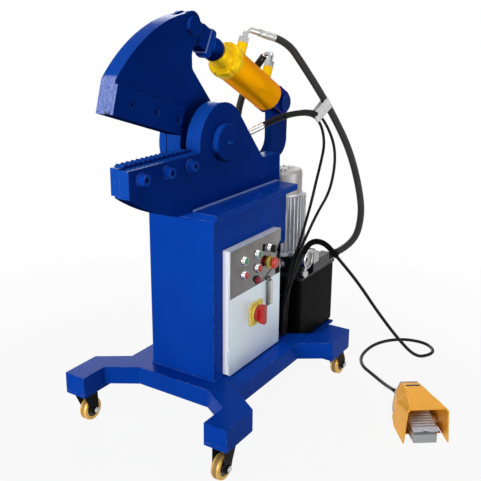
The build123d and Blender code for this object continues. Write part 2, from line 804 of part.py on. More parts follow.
push_button("green_button_left", green_left, button_r - 1, bezel_y0 - 3, bezel_y0)
push_button("green_button_right", green_right, button_r - 1, bezel_y0 - 3, bezel_y0)
push_button("red_button_left", red_left, button_r - 1, bezel_y0 - 5, bezel_y0)
push_button("red_button_right", red_right, button_r - 1, bezel_y0 - 5, bezel_y0)
push_button("estop_head", estop_at, 20, bezel_y0 - 22, bezel_y0 - 8)

with BuildPart() as selector_knob:
    bar("Y", selector_at[0], selector_at[1], bezel_y0 - 6, door_y1 + 20, button_r - 1 - run_fit)
    knob_x, knob_z = selector_at
    block(knob_x - 4, knob_x + 4, bezel_y0 - 20, bezel_y0 - 6, knob_z - 12, knob_z + 12)
save(selector_knob, "selector_knob")

with BuildPart() as pilot_lamp:
    bar("Y", lamp_at[0], lamp_at[1], door_y0, door_y1 + 20, 7)
    bar("Y", lamp_at[0], lamp_at[1], door_y0 - 3, door_y0, 10)
    bar("Y", lamp_at[0], lamp_at[1], door_y0 - 8, door_y0 - 3, 7.5)
save(pilot_lamp, "pilot_lamp")

with BuildPart() as isolator_handle:
    cx, cz = isolator_at
    bar("Y", cx, cz, door_y0 - 12, door_y1 + 30, 6)
    bar("Y", cx, cz, door_y0 - 20, door_y0 - 11 - side_fit, 26)
    block(cx - 11, cx + 11, door_y0 - 36, door_y0 - 20, cz - 32, cz + 32)
    grip = isolator_handle.edges().filter_by(Axis.Y).sort_by(Axis.Z)
    fillet(grip[:2] + grip[-2:], 8)
save(isolator_handle, "isolator_handle")

with BuildPart() as lock_handle:
    lx, lz = lock_at
    bar("Y", lx, lz, door_y0 - 6, door_y1 + 12, 6)
    block(lx - 8, lx + 8, door_y0 - 14, door_y0 - 5 - side_fit, lz - lock_half, lz + lock_half)
    grip = lock_handle.edges().filter_by(Axis.Y).sort_by(Axis.Z)
    fillet(grip[:2] + grip[-2:], 7)
    block(lx - 6, lx + 40, door_y1 + 8, door_y1 + 11, lz - 8, lz + 8)
save(lock_handle, "lock_handle")

# Oil tank, lid with breather, and the pump that hangs inside it
with BuildPart() as tank:
    block(tank_x0, tank_x1, tank_y0, tank_y1, skirt_low, tank_top)
    fillet(tank.edges().filter_by(Axis.Z), tank_round)
    low_edges = tank.faces().sort_by(Axis.Z)[0].edges()
    fillet(low_edges, 14)
    offset(amount=-tank_wall, openings=tank.faces().sort_by(Axis.Z)[-1])
save(tank, "tank")

with BuildPart() as tank_lid:
    block(tank_x0 - 4, tank_x1 + 4, tank_y0 - 4, tank_y1 + 4, tank_top, lid_top)
    fillet(tank_lid.edges().filter_by(Axis.Z), tank_round)
    bar("Z", 478, 96, lid_top, lid_top + 12, 16)
    bar("Z", 478, 96, lid_top + 12, lid_top + 38, 24)
    bar("Z", motor_x, motor_y, tank_top, lid_top, 32, Mode.SUBTRACT)
save(tank_lid, "tank_lid")

with BuildPart() as pump:
    block(motor_x - 45, motor_x + 45, motor_y - 45, motor_y + 45, 250, tank_top)
    bar("Z", motor_x, motor_y, 280, tank_top, shaft_r + run_fit, Mode.SUBTRACT)
    bar("Z", motor_x, motor_y, 330, tank_top, 30, Mode.SUBTRACT)
    bar("Z", motor_x, motor_y - 20, 160, 250, 14)
    bar("Z", motor_x, motor_y - 20, 140, 170, 30)
save(pump, "pump")

# Valve block on the lid, with the return port at its far end
hose_b_axis = (-6, -16, -85)
with BuildPart() as valve_block:
    block(330, 470, -118, 58, lid_top, motor_z0)
    bar("Z", motor_x, motor_y, lid_top, motor_z0, 32, Mode.SUBTRACT)
    block(404, 452, 58, 124, lid_top, 402)
    with BuildSketch(Plane(origin=hose_b_end, z_dir=hose_b_axis)):
        Circle(ferrule_r)
    extrude(amount=44)
    with BuildSketch(Plane(origin=hose_b_end, z_dir=hose_b_axis).offset(44)):
        Circle(11)
    extrude(amount=24)
save(valve_block, "valve_block")

# Solenoid valve with coil, plug and the pressure port of the near hose
hose_a_axis = (-77, 55, -30)
with BuildPart() as solenoid_valve:
    block(372, 480, -162, -118, lid_top + 4, 412)
    block(480, 512, -156, -124, lid_top + 2, 408)
    block(376, 404, -158, -128, 412, 440)
    with BuildSketch(Plane(origin=hose_a_end, z_dir=hose_a_axis)):
        Circle(ferrule_r)
    extrude(amount=26)
    with BuildSketch(Plane(origin=hose_a_end, z_dir=hose_a_axis).offset(26)):
        Circle(9)
    extrude(amount=24)
save(solenoid_valve, "solenoid_valve")

# Pressure gauge on a stem, with its pointer
with BuildPart() as pressure_gauge:
    mid_y = (gauge_y0 + gauge_y1) / 2
    bar("Z", gauge_x, mid_y, lid_top, gauge_z, 7)
    with BuildSketch(Plane.XY.offset(lid_top + 6)):
        with Locations((gauge_x, mid_y)):
            RegularPolygon(12, 6)
    extrude(amount=16)
    bar("Y", gauge_x, gauge_z, gauge_y0, gauge_y1, gauge_r)
    bar("Y", gauge_x, gauge_z, gauge_y0, gauge_y0 + 7, gauge_r - 3, Mode.SUBTRACT)
    bar("Y", gauge_x, gauge_z, gauge_y0 + 7, gauge_y0 + 15, 2 + run_fit, Mode.SUBTRACT)
save(pressure_gauge, "pressure_gauge")

with BuildPart() as gauge_pointer:
    bar("Y", gauge_x, gauge_z, gauge_y0 + 3, gauge_y0 + 14, 2)
    bar("Y", gauge_x, gauge_z, gauge_y0 + 3, gauge_y0 + 6, 4)
    with BuildSketch(Plane.XZ.offset(-gauge_y0 - 5)):
        with BuildLine():
            Polyline(
                (gauge_x - 2, gauge_z + 2),
                (gauge_x - 17, gauge_z - 15),
                (gauge_x + 2, gauge_z - 2),
                close=True,
            )
        make_face()
    extrude(amount=1.2)
save(gauge_pointer, "gauge_pointer")

# Motor: finned housing with flange and terminal box, rotor with fan, and fan cowl
with BuildPart() as motor_housing:
    bar("Z", motor_x, motor_y, motor_z0, motor_flange_z1, fin_r + 6)
    bar("Z", motor_x, motor_y, motor_flange_z1, motor_z1, motor_r)
    bar("Z", motor_x, motor_y, motor_z1 - 8, motor_z1, cowl_r + 2)
    fin_plane = Plane(origin=(motor_x, motor_y, motor_flange_z1))
    with BuildSketch(fin_plane):
        with PolarLocations(motor_r - 2, 36):
            Rectangle(fin_r - motor_r + 2, 4, align=(Align.MIN, Align.CENTER))
    extrude(amount=motor_z1 - motor_flange_z1 - 8)
    box_plane = Plane(origin=(motor_x, motor_y, terminal_z), x_dir=(0.45, -1, 0), z_dir=(-1, -0.45, 0))
    with BuildSketch(box_plane.offset(motor_r - 4)):
        Rectangle(terminal_wid, terminal_h)
    extrude(amount=terminal_out)
    bar("Z", motor_x, motor_y, motor_z0 + 20, motor_z1 - 12, stator_r, Mode.SUBTRACT)
    bar("Z", motor_x, motor_y, motor_z0, motor_z1, shaft_r + run_fit, Mode.SUBTRACT)
save(motor_housing, "motor_housing")

with BuildPart() as motor_rotor:
    bar("Z", motor_x, motor_y, 290, fan_high + 4, shaft_r)
    bar("Z", motor_x, motor_y, motor_z0 + 30, motor_z1 - 22, rotor_r - side_fit)
    bar("Z", motor_x, motor_y, 372, 416, 24)
    bar("Z", motor_x, motor_y, fan_low, fan_high, 20)
    with BuildSketch(Plane(origin=(motor_x, motor_y, fan_low + 4))):
        with PolarLocations(18, 6):
            Rectangle(44, 4, align=(Align.MIN, Align.CENTER))
    extrude(amount=fan_high - fan_low - 8)
save(motor_rotor, "motor_rotor")

with BuildPart() as fan_cowl:
    bar("Z", motor_x, motor_y, motor_z1, cowl_top, cowl_r)
    crown_edge = fan_cowl.edges().filter_by(GeomType.CIRCLE).sort_by(Axis.Z)[-1]
    fillet(crown_edge, 12)
    offset(amount=-3, openings=fan_cowl.faces().sort_by(Axis.Z)[0])
    with BuildSketch(Plane(origin=(motor_x, motor_y, cowl_top - 3))):
        with PolarLocations(20, 16):
            SlotOverall(30, 5, align=(Align.MIN, Align.CENTER))
    extrude(amount=3, mode=Mode.SUBTRACT)
save(fan_cowl, "fan_cowl")

# Proximity switch with two leads, on a lug at the inner face of the lower jaw's plate
sensor_dir = (0.805, -0.483, 0.346)
sensor_side = (-0.297, 0.178, 0.938)
sensor_end = (250, -17, 895)
lead_gap = 5.8
sensor_len = 130
with BuildPart() as limit_switch:
    with BuildSketch(Plane(origin=sensor_end, z_dir=sensor_dir).offset(-run_fit)):
        Circle(11.5)
    extrude(amount=-sensor_len)
    block(98, 150, near_y1, 58, 834, 864)
save(limit_switch, "limit_switch")

# Foot switch: base, hood and treadle, drawn in its own turned frame
turn_rad = math.radians(foot_turn)
foot_frame = Plane(
    origin=(foot_at[0], foot_at[1], 0),
    x_dir=(math.cos(turn_rad), math.sin(turn_rad), 0),
    z_dir=(0, 0, 1),
)
side_frame = Plane(
    origin=(foot_at[0], foot_at[1], 0),
    x_dir=(-math.sin(turn_rad), math.cos(turn_rad), 0),
    z_dir=(math.cos(turn_rad), math.sin(turn_rad), 0),
)


def gland_point(out):
    """Point on the falling axis of the cable gland, this far out from the rear of the hood."""
    y = hood_sections[-1][0] + out
    return tuple(foot_frame.from_local_coords((gland_x, y, gland_z - gland_drop * out)))


with BuildPart(foot_frame) as foot_base:
    block(-foot_base_half, foot_base_half, 4, foot_rear_y, 0, foot_base_h)
    fillet(foot_base.edges().filter_by(Axis.Z).group_by(Axis.Y)[0], 3)
    rear_y = hood_sections[-1][0]
    front_half = hood_sections[-2][1][0]
    rear_half = hood_sections[-1][1][0]
    with BuildSketch(foot_frame):
        with BuildLine():
            Polyline(
                (-front_half, foot_rear_y),
                (front_half, foot_rear_y),
                (rear_half, rear_y),
                (-rear_half, rear_y),
                close=True,
            )
        make_face()
    extrude(amount=foot_rear_h)
    for side in (-1, 1):
        x0 = side * (treadle_half + 5)
        block(x0 - 3, x0 + 3, treadle_axis_y - 10, foot_rear_y + 8, 12, treadle_axis_z + 9)
    bar("X", treadle_axis_y, treadle_axis_z, -treadle_half - 8, treadle_half + 8, 4)
save(foot_base, "foot_base")

with BuildPart() as foot_hood:
    for sections, how in ((hood_sections, Mode.ADD), (hood_hollow, Mode.SUBTRACT)):
        for y, low, shoulder, top in sections:
            section_at = foot_frame.from_local_coords((0, y, 0))
            with BuildSketch(Plane(origin=section_at, x_dir=foot_frame.x_dir, z_dir=-side_frame.x_dir)):
                with BuildLine():
                    Polyline(
                        (-low[0], low[1]),
                        (-shoulder[0], shoulder[1]),
                        (-top[0], top[1]),
                        top,
                        shoulder,
                        low,
                        close=True,
                    )
                make_face()
        loft(ruled=True, mode=how)
    gland_axis = Vector(*gland_point(gland_len)) - Vector(*gland_point(-hood_wall / 2))
    with BuildSketch(Plane(origin=gland_point(gland_len), z_dir=gland_axis)):
        Circle(gland_r)
    extrude(amount=-gland_axis.length)
save(foot_hood, "foot_hood")

with BuildPart(foot_frame) as treadle:
    bar("X", treadle_axis_y, treadle_axis_z, -treadle_half, treadle_half, 10)
    with BuildSketch(side_frame.offset(-treadle_half)):
        with BuildLine():
            Polyline(
                (treadle_axis_y, treadle_axis_z - 6),
                (treadle_axis_y, treadle_axis_z + 8),
                (10, 46),
                (2, 42),
                (4, 37),
                close=True,
            )
        make_face()
    extrude(amount=2 * treadle_half)
    for i in range(6):
        rib_y = 16 + i * 13
        rib_z = 46 + (rib_y - 10) * 0.09
        block(-treadle_half + 3, treadle_half - 3, rib_y - 3, rib_y + 3, rib_z - 4, rib_z + 2.5)
    block(-9, 9, 0, 8, 30, 60, Mode.SUBTRACT)
    bar("X", treadle_axis_y, treadle_axis_z, -treadle_half, treadle_half, 4 + run_fit, Mode.SUBTRACT)
save(treadle, "treadle")


def cord(name, points, r):
    """Straight runs with a tangent arc at each corner, swept with a round section."""
    radii = []
    for before, at, after in zip(points, points[1:], points[2:]):
        run_in = Vector(*at) - Vector(*before)
        run_out = Vector(*after) - Vector(*at)
        half_turn = math.radians(run_in.get_angle(run_out) / 2)
        radii.append(0.45 * min(run_in.length, run_out.length) / math.tan(half_turn))
    with BuildPart() as tube:
        with BuildLine() as path:
            FilletPolyline(*points, radius=radii)
        with BuildSketch(Plane(origin=points[0], z_dir=Vector(*points[1]) - Vector(*points[0]))):
            Circle(r)
        sweep(path=path.wires()[0])
    length = path.wires()[0].length
    share = tube.part.volume / (math.pi * r**2 * length)
    print(name, "length", round(length), "bend/d", round(min(radii) / (2 * r), 1), round(share, 3))
    return tube


# Cords
hose_a = cord(
    "hose_a",
    [
        hose_a_start,
        tuple(a + 0.66 * d for a, d in zip(hose_a_start, front_axis)),
        (432, -64, 1085),
        (470, -108, 1000),
        (520, -142, 912),
        (565, -190, 790),
        (605, -218, 650),
        (628, -228, 530),
        tuple(a - 0.9 * d for a, d in zip(hose_a_end, hose_a_axis)),
        hose_a_end,
    ],
    hose_r,
)
save(hose_a, "hose_a")

hose_b = cord(
    "hose_b",
    [
        hose_b_start,
        tuple(a + 1.3 * d for a, d in zip(hose_b_start, rear_axis)),
        (414, 165, 975),
        (405, 180, 905),
        (408, 186, 830),
        (422, 172, 735),
        (436, 150, 640),
        tuple(a - d for a, d in zip(hose_b_end, hose_b_axis)),
        hose_b_end,
    ],
    hose_r,
)
save(hose_b, "hose_b")

sensor_1 = cord(
    "sensor_1",
    [
        tuple(a - lead_gap * b for a, b in zip(sensor_end, sensor_side)),
        tuple(a - lead_gap * b + 70 * d for a, b, d in zip(sensor_end, sensor_side, sensor_dir)),
        (372, -90, 923),
        (434, -114, 912),
        (474, -127, 872),
        (472, -139, 812),
        (442, -141, 750),
        (410, -141, 688),
        (380, -140, 618),
        (342, -139, 552),
        (302, -138, 482),
        (248, -134, 420),
        (224, -130, 300),
        (224, -130, base_top),
    ],
    sensor_cable_r,
)
sensor_2 = cord(
    "sensor_2",
    [
        tuple(a + lead_gap * b for a, b in zip(sensor_end, sensor_side)),
        tuple(a + lead_gap * b + 70 * d for a, b, d in zip(sensor_end, sensor_side, sensor_dir)),
        (371, -89, 936),
        (444, -118, 925),
        (500, -131, 880),
        (520, -148, 820),
        (514, -162, 765),
        (494, -167, 700),
        (460, -166, 637),
        (412, -160, 578),
        (330, -154, 495),
        (266, -146, 425),
        (236, -131, 300),
        (236, -131, base_top),
    ],
    sensor_cable_r,
)
with BuildPart() as sensor_cables:
    add(sensor_1.part)
    add(sensor_2.part)
save(sensor_cables, "sensor_cables")

foot_cable = cord(
    "foot_cable",
    [
        (212, -130, base_top),
        (212, -130, 290),
        (226, -160, 378),
        (262, -178, 440),
        (320, -180, 492),
        (410, -184, 480),
        (500, -196, 395),
        (545, -260, 300),
        (580, -326, 190),
        (618, -402, 80),
        (655, -462, 6),
        (705, -502, 6),
        (757, -500, 6),
        (800, -444, 6),
        (780, -355, 6),
        (690, -289, 6),
        (560, -282, 6),
        (480, -318, 6),
        (436, -382, 6),
        (390, -442, 8),
        gland_point(gland_len + 60),
        gland_point(gland_len),
    ],
    foot_cable_r,
)
save(foot_cable, "foot_cable")
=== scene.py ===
"""Visual model of a wheeled alligator shear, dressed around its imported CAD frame.

X runs from the mouth (-) to the tail (+), -Y is the control side, Z is up. Lengths are in metres, except
that pieces are drawn in millimetres and scaled when they are made.
"""
import math
from itertools import accumulate

import bmesh
import bpy
import numpy as np
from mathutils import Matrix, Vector


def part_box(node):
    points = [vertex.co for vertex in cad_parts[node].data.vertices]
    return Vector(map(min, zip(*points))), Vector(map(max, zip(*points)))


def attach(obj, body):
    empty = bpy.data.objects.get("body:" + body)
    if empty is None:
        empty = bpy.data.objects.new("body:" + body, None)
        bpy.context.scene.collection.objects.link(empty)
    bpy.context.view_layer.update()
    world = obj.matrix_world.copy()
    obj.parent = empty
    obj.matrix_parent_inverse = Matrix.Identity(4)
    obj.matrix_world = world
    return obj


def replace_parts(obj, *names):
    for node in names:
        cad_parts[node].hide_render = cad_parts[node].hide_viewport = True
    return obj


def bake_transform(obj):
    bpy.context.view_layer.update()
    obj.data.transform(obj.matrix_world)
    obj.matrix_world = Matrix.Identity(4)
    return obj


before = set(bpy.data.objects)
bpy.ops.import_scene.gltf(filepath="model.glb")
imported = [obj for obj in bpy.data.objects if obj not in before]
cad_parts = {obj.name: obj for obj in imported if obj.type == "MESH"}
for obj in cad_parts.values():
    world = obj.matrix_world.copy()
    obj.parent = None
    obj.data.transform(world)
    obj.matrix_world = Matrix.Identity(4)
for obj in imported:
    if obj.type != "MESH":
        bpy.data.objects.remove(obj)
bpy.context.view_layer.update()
TURN = 2 * math.pi
SIDE = (0, 1, 0)
OFF_AXIS = (0.31, 0.27, 0.91)


# Shapes

def unit(v):
    """Each row divided by its length."""
    v = np.asarray(v, float)
    return v / np.linalg.norm(v, axis=-1, keepdims=True)


def skin(points):
    """Rows of points, each row a closed ring, as a list of corners and a list of the quads between rows."""
    rows, cols = points.shape[:2]
    row = np.arange(rows - 1)[:, None] * cols
    col = np.arange(cols)[None, :]
    after = (col + 1) % cols
    quads = np.stack([row + col, row + after, row + cols + after, row + cols + col], -1)
    return points.reshape(-1, 3), quads.reshape(-1, 4)


def capped(points):
    """Skin of rings whose first and last ones are closed by a fan about their middles."""
    caps = np.repeat(points[[0, -1]].mean(axis=1, keepdims=True), points.shape[1], axis=1)
    return skin(np.concatenate([caps[:1], points, caps[1:]]))


def placed(points, origin, z_dir, x_hint=(1, 0, 0)):
    """Local points carried to origin with local z along z_dir and local x near x_hint."""
    z = unit(z_dir)
    x = np.asarray(x_hint, float)
    x = unit(x - z * (x @ z))
    return np.asarray(origin, float) + points @ np.stack([x, np.cross(z, x), z])


def full_turn(steps):
    """Angles of one turn."""
    return np.linspace(0, TURN, steps, endpoint=False)


def about_z(radius, height):
    """Rings of points with one column for each angle a: x = radius cos a, y = radius sin a, z = height."""
    a = full_turn(radius.shape[1])
    return np.stack([radius * np.cos(a), radius * np.sin(a), np.broadcast_to(height, radius.shape)], -1)


def spun(profile, steps):
    """Rows of (radius, height) turned about z."""
    p = np.asarray(profile, float)
    return about_z(np.repeat(p[:, :1], steps, axis=1), p[:, 1:])


def turned(profile, origin, z_dir, steps=48):
    """Turned shape with its axis at origin along z_dir."""
    hint = (1, 0, 0) if abs(unit(z_dir)[0]) < 0.9 else SIDE
    return skin(placed(spun(profile, steps), origin, z_dir, hint))


def cushion(profile, origin, z_dir, power=9, steps=128):
    """Square plate with rounded corners: a turned shape whose radius follows a superellipse."""
    p = np.asarray(profile, float)
    a = full_turn(steps)
    square = (np.abs(np.cos(a)) ** power + np.abs(np.sin(a)) ** power) ** (-1 / power)
    return skin(placed(about_z(p[:, :1] * square, p[:, 1:]), origin, z_dir))


def slotted_ring(profile, origin, z_dir, slots, depth, width, steps=160, wide_from=50, fade=4):
    """Turned shape whose wide part is cut by short slots: the radius dips in a notch at each angle."""
    p = np.asarray(profile, float)
    off = np.abs((full_turn(steps)[:, None] - slots + math.pi) % TURN - math.pi).min(1)
    dip = depth * np.exp(-((off / width) ** 4))
    radius = p[:, :1] - dip * np.clip((p[:, :1] - wide_from) / fade, 0, 1)
    return skin(placed(about_z(radius, p[:, 1:]), origin, z_dir, SIDE))


def hex_nut(origin, axis, across, length):
    """Six-sided nut with its corners turned down at both ends."""
    shares = np.array([(0, 0), (0.86, 0), (1, 0.1), (1, 0.9), (0.86, 1), (0, 1)])
    hint = (0, 0, 1) if abs(unit(axis)[2]) < 0.9 else (1, 0, 0)
    return skin(placed(spun(shares * (across / math.sqrt(3), length), 6), origin, axis, hint))


def pillow_block(low, high, r, steps=4):
    """Block with rounded edges: a small ball whose eight octants are pushed out to the block's corners."""
    low, high = np.asarray(low, float), np.asarray(high, float)
    quarter = np.linspace(0, math.pi / 2, steps)
    lon = np.concatenate([quarter + k * math.pi / 2 for k in range(4)])
    lat = np.concatenate([quarter - math.pi / 2, quarter])
    sign_x = np.repeat([1, -1, -1, 1], steps)
    sign_y = np.repeat([1, 1, -1, -1], steps)
    sign_z = np.repeat([-1, 1], steps)
    sign = np.stack(np.broadcast_arrays(sign_x, sign_y, sign_z[:, None]), -1)
    across = np.cos(lat)
    height = np.outer(np.sin(lat), np.ones(len(lon)))
    ball = np.stack([np.outer(across, np.cos(lon)), np.outer(across, np.sin(lon)), height], -1)
    return capped((low + high) / 2 + sign * ((high - low) / 2 - r) + r * ball)


def drawn_in(outline, middle, rows):
    """Rings at rows of (share, depth): an x and z outline drawn in about a middle, at y = depth."""
    rows = np.asarray(rows, float)
    flat = np.asarray(middle, float) + rows[:, :1, None] * (outline - np.asarray(middle, float))
    depth = np.broadcast_to(rows[:, 1:], flat.shape[:2])
    return np.stack([flat[..., 0], depth, flat[..., 1]], -1)


def wall_along(plan, thick, low, high):
    """Upright wall that follows a plan line and is thick to its inner side, with closed ends."""
    outer = np.asarray(plan, float)
    inner = outer - (thick, 0)
    sides = [(outer, low), (outer, high), (inner, high), (inner, low)]
    return capped(np.stack([np.column_stack([p, np.full(len(p), z)]) for p, z in sides], axis=1))


def carried(path):
    """Two side vectors along a path: the first is the one before it made square to the path again."""
    tangent = unit(np.gradient(path, axis=0))
    first = unit(np.cross(tangent[0], OFF_AXIS))
    side = np.array(list(accumulate(tangent, lambda n, t: unit(n - t * (n @ t)), initial=first)))[1:]
    return side, np.cross(tangent, side)


def tube(path, radius, sides=20):
    """Round section of the given radius carried along a path, with closed ends."""
    path = np.asarray(path, float)
    side, up = carried(path)
    a = full_turn(sides)[None, :, None]
    ring = np.cos(a) * side[:, None] + np.sin(a) * up[:, None]
    return capped(path[:, None] + np.broadcast_to(radius, len(path))[:, None, None] * ring)


def bent(points, r, steps=9):
    """Line through the points, with each corner rounded to the radius."""
    p = np.asarray(points, float)
    share = np.linspace(0, 1, steps)[:, None]
    out = [p[:1]]
    for a, b, c in zip(p, p[1:], p[2:]):
        back, on = unit(a - b), unit(c - b)
        half = math.acos(back @ on) / 2
        centre = b + unit(back + on) * r / math.sin(half)
        first, last = [b + way * r / math.tan(half) - centre for way in (back, on)]
        out.append(centre + r * unit((1 - share) * first + share * last))
    return np.concatenate([*out, p[-1:]])


def line(points, step):
    """Points along straight runs, about step apart."""
    p = np.asarray(points, float)
    run = np.linalg.norm(np.diff(p, axis=0), axis=1)
    s = np.concatenate([[0], np.cumsum(run)])
    at = np.linspace(0, s[-1], max(2, int(s[-1] / step)))
    return np.stack([np.interp(at, s, p[:, k]) for k in range(3)], -1)


def bead(points, r, pitch=7.0):
    """Laid weld: a round run whose radius rises and falls once per pitch along its length."""
    path = line(points, 1.0)
    return tube(path, r * (0.86 + 0.14 * np.abs(np.sin(np.arange(len(path)) * math.pi / pitch))), 10)


def piece(name, parts, finish, body, smooth=40, uv=None, scale=0.001):
    """One object from parts, each corners and quads, in millimetres; doubles merged, faces outwards."""
    corners = np.concatenate([p[0] for p in parts]) * scale
    offsets = np.cumsum([0] + [len(p[0]) for p in parts[:-1]])
    quads = np.concatenate([p[1] + o for p, o in zip(parts, offsets)])
    mesh = bpy.data.meshes.new(name)
    mesh.from_pydata(corners.tolist(), [], quads.tolist())
    if uv is not None:
        layer = mesh.uv_layers.new(name="along")
        layer.data.foreach_set("uv", np.asarray(uv, np.float32)[quads.ravel()].ravel())
    bm = bmesh.new()
    bm.from_mesh(mesh)
    bmesh.ops.remove_doubles(bm, verts=bm.verts, dist=1e-6)
    bmesh.ops.dissolve_degenerate(bm, edges=bm.edges, dist=1e-7)
    bmesh.ops.recalc_face_normals(bm, faces=bm.faces)
    bm.to_mesh(mesh)
    bm.free()
    mesh.shade_smooth()
    mesh.set_sharp_from_angle(angle=math.radians(smooth))
    mesh.materials.append(finish)
    thing = bpy.data.objects.new(name, mesh)
    bpy.context.scene.collection.objects.link(thing)
    if body:
        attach(thing, body)
    return thing


# Finishes

def put(tree, kind, inputs=None, **settings):
    """New shader node; inputs maps a socket's name or number to a value or to another node's output."""
    made = tree.nodes.new("ShaderNode" + kind)
    for key, value in settings.items():
        setattr(made, key, value)
    for key, value in (inputs or {}).items():
        if isinstance(value, bpy.types.NodeSocket):
            tree.links.new(value, made.inputs[key])
        else:
            made.inputs[key].default_value = value
    return made


def begin(name, **sockets):
    """Material with its shader's plain values set, its node tree, the shader and the Object coordinates."""
    mat = bpy.data.materials.new(name)
    mat.use_nodes = True
    shader = mat.node_tree.nodes["Principled BSDF"]
    for key, value in sockets.items():
        shader.inputs[key.replace("_", " ")].default_value = value
    at = put(mat.node_tree, "TexCoord").outputs["Object"]
    return mat, mat.node_tree, shader, at


def noise(tree, at, scale, detail):
    """Fractal noise, about 0.5 with a spread of 0.2."""
    return put(tree, "TexNoise", {"Vector": at, "Scale": scale, "Detail": detail}).outputs[0]


def ramp(tree, value, low, high, to_low=0.0, to_high=1.0):
    """Value carried from low..high to to_low..to_high and held at the ends."""
    inputs = {"Value": value, "From Min": low, "From Max": high, "To Min": to_low, "To Max": to_high}
    return put(tree, "MapRange", inputs).outputs[0]


def times(tree, a, b):
    """Product of two values."""
    return put(tree, "Math", {0: a, 1: b}, operation="MULTIPLY").outputs[0]


def between(tree, share, a, b):
    """Colour a where share is 0 and b where it is 1."""
    return put(tree, "Mix", {0: share, 6: a, 7: b}, data_type="RGBA").outputs[2]


def shade(colour, k):
    """Colour times k, opaque."""
    return (*[min(1.0, c * k) for c in colour], 1.0)


def dot(tree, a, b):
    """Scalar product of two vectors."""
    return put(tree, "VectorMath", {0: a, 1: b}, operation="DOT_PRODUCT").outputs["Value"]


def less(tree, a, b):
    """Vector a less vector b."""
    return put(tree, "VectorMath", {0: a, 1: b}, operation="SUBTRACT").outputs["Vector"]


def length_of(tree, a):
    """Length of a vector."""
    return put(tree, "VectorMath", {0: a}, operation="LENGTH").outputs["Value"]


def stretched(tree, at, scale):
    """Coordinates scaled along each axis."""
    return put(tree, "Mapping", {"Vector": at, "Scale": scale}).outputs[0]


def bumped(tree, strength, distance, height, normal=None):
    """Normal tilted by a height that rises over a distance in metres."""
    inputs = {"Strength": strength, "Distance": distance, "Height": height}
    if normal is not None:
        inputs["Normal"] = normal
    return put(tree, "Bump", inputs).outputs[0]


def orange_peel(tree, at, normal):
    """Normal with the fine ripple of sprayed paint."""
    return bumped(tree, 0.05, 0.001, noise(tree, at, 420, 2), normal)


def patchy(tree, at, rough):
    """Roughness that goes between two values in patches."""
    return ramp(tree, noise(tree, at, 11, 5), 0.3, 0.7, *rough)


def drifting(tree, pattern, colour, low, high):
    """Colour that goes between low and high times itself with a slow pattern."""
    return between(tree, ramp(tree, pattern, 0.35, 0.65), shade(colour, low), shade(colour, high))


def edges(tree, at, radius, scale):
    """Normal rounded over edges, and a broken mask that is 1 on them."""
    soft = put(tree, "Bevel", {"Radius": radius}, samples=4).outputs[0]
    mask = ramp(tree, dot(tree, soft, put(tree, "NewGeometry").outputs["True Normal"]), 0.97, 0.8)
    return soft, times(tree, mask, ramp(tree, noise(tree, at, scale, 5), 0.42, 0.6))


def connect(tree, shader, colour, rough, normal):
    """Joins a colour, a roughness and a normal to the shader."""
    for socket, value in {"Base Color": colour, "Roughness": rough, "Normal": normal}.items():
        tree.links.new(value, shader.inputs[socket])


def enamel(
    name, colour, bare_and_highlight, wear_and_highlight, rough=(0.16, 0.34), level=0.025, edge=0.0018, drift=0.1, flake=0.0
):
    """Sprayed enamel: slow tint drift, patchy gloss, orange-peel bump and paler paint along edges, which is
    rubbed paint and, where its share is strong, also a painted highlight.
    """
    mat, tree, shader, at = begin(name, Specular_IOR_Level=level, Metallic=flake)
    soft, edge_mask = edges(tree, at, edge, 55)
    tint = drifting(tree, noise(tree, at, 3.2, 4), colour, 1 - drift, 1 + drift)
    paint = between(tree, times(tree, edge_mask, wear_and_highlight), tint, shade(bare_and_highlight, 1))
    connect(tree, shader, paint, patchy(tree, at, rough), orange_peel(tree, at, soft))
    return mat


def plate(name, face, cut, bare_and_highlight, glint_tip=None):
    """Painted thick plate. The rolled faces, which look along y, take the darker face colour as painted
    shade, and the flame-cut edges the paler cut colour as painted light, with drag lines across the
    thickness in the bump. Undersides get painted shade, a much darker copy of the face colour, and have no
    gloss. Edges are paler, partly rubbed paint and partly painted highlight, and a tip, given as a point
    and a normal, gets painted glints: bright flecks that stand in for light sparkling on its cut face."""
    mat, tree, shader, at = begin(name)
    soft, edge_mask = edges(tree, at, 0.0022, 45)
    flat = put(tree, "NewGeometry").outputs["True Normal"]
    upright = dot(tree, flat, (0, 0, 1))
    tree.links.new(ramp(tree, upright, -0.45, -0.15, 0.0, 0.006), shader.inputs["Specular IOR Level"])
    across = put(tree, "Math", {0: dot(tree, flat, SIDE)}, operation="ABSOLUTE").outputs[0]
    is_cut = ramp(tree, across, 0.75, 0.35)
    # Painted shade and light: the rolled faces get the darker face colour, the cut faces the paler cut
    # colour.
    shaded_face_tint = drifting(tree, noise(tree, at, 3.2, 4), face, 0.88, 1.12)
    grit = ramp(tree, noise(tree, at, 260, 3), 0.56, 0.72)
    lit_cut_tint = between(tree, times(tree, grit, 0.05), shade(cut, 1), shade(bare_and_highlight, 1))
    paint = between(tree, is_cut, shaded_face_tint, lit_cut_tint)
    # Painted glints: bright flecks near the tip's cut face stand in for light sparkling on it.
    if glint_tip:
        point, normal = glint_tip
        at_tip = ramp(tree, dot(tree, less(tree, at, point), normal), -0.006, -0.003)
        glint_flecks = ramp(tree, noise(tree, at, 330, 5), 0.3, 0.68)
        tip_glint = times(tree, times(tree, is_cut, at_tip), glint_flecks)
        paint = between(tree, times(tree, tip_glint, 0.62), paint, shade(bare_and_highlight, 1))
    # Painted shade: undersides turn to a much darker copy of the face colour.
    paint = between(tree, ramp(tree, upright, -0.15, -0.45), paint, shade(face, 0.3))
    paint = between(tree, times(tree, edge_mask, 0.18), paint, shade(bare_and_highlight, 1))
    drag = noise(tree, stretched(tree, at, (330, 14, 330)), 1.0, 3)
    lines = bumped(tree, times(tree, is_cut, 0.22), 0.001, drag, soft)
    connect(tree, shader, paint, patchy(tree, at, (0.12, 0.3)), orange_peel(tree, at, lines))
    return mat


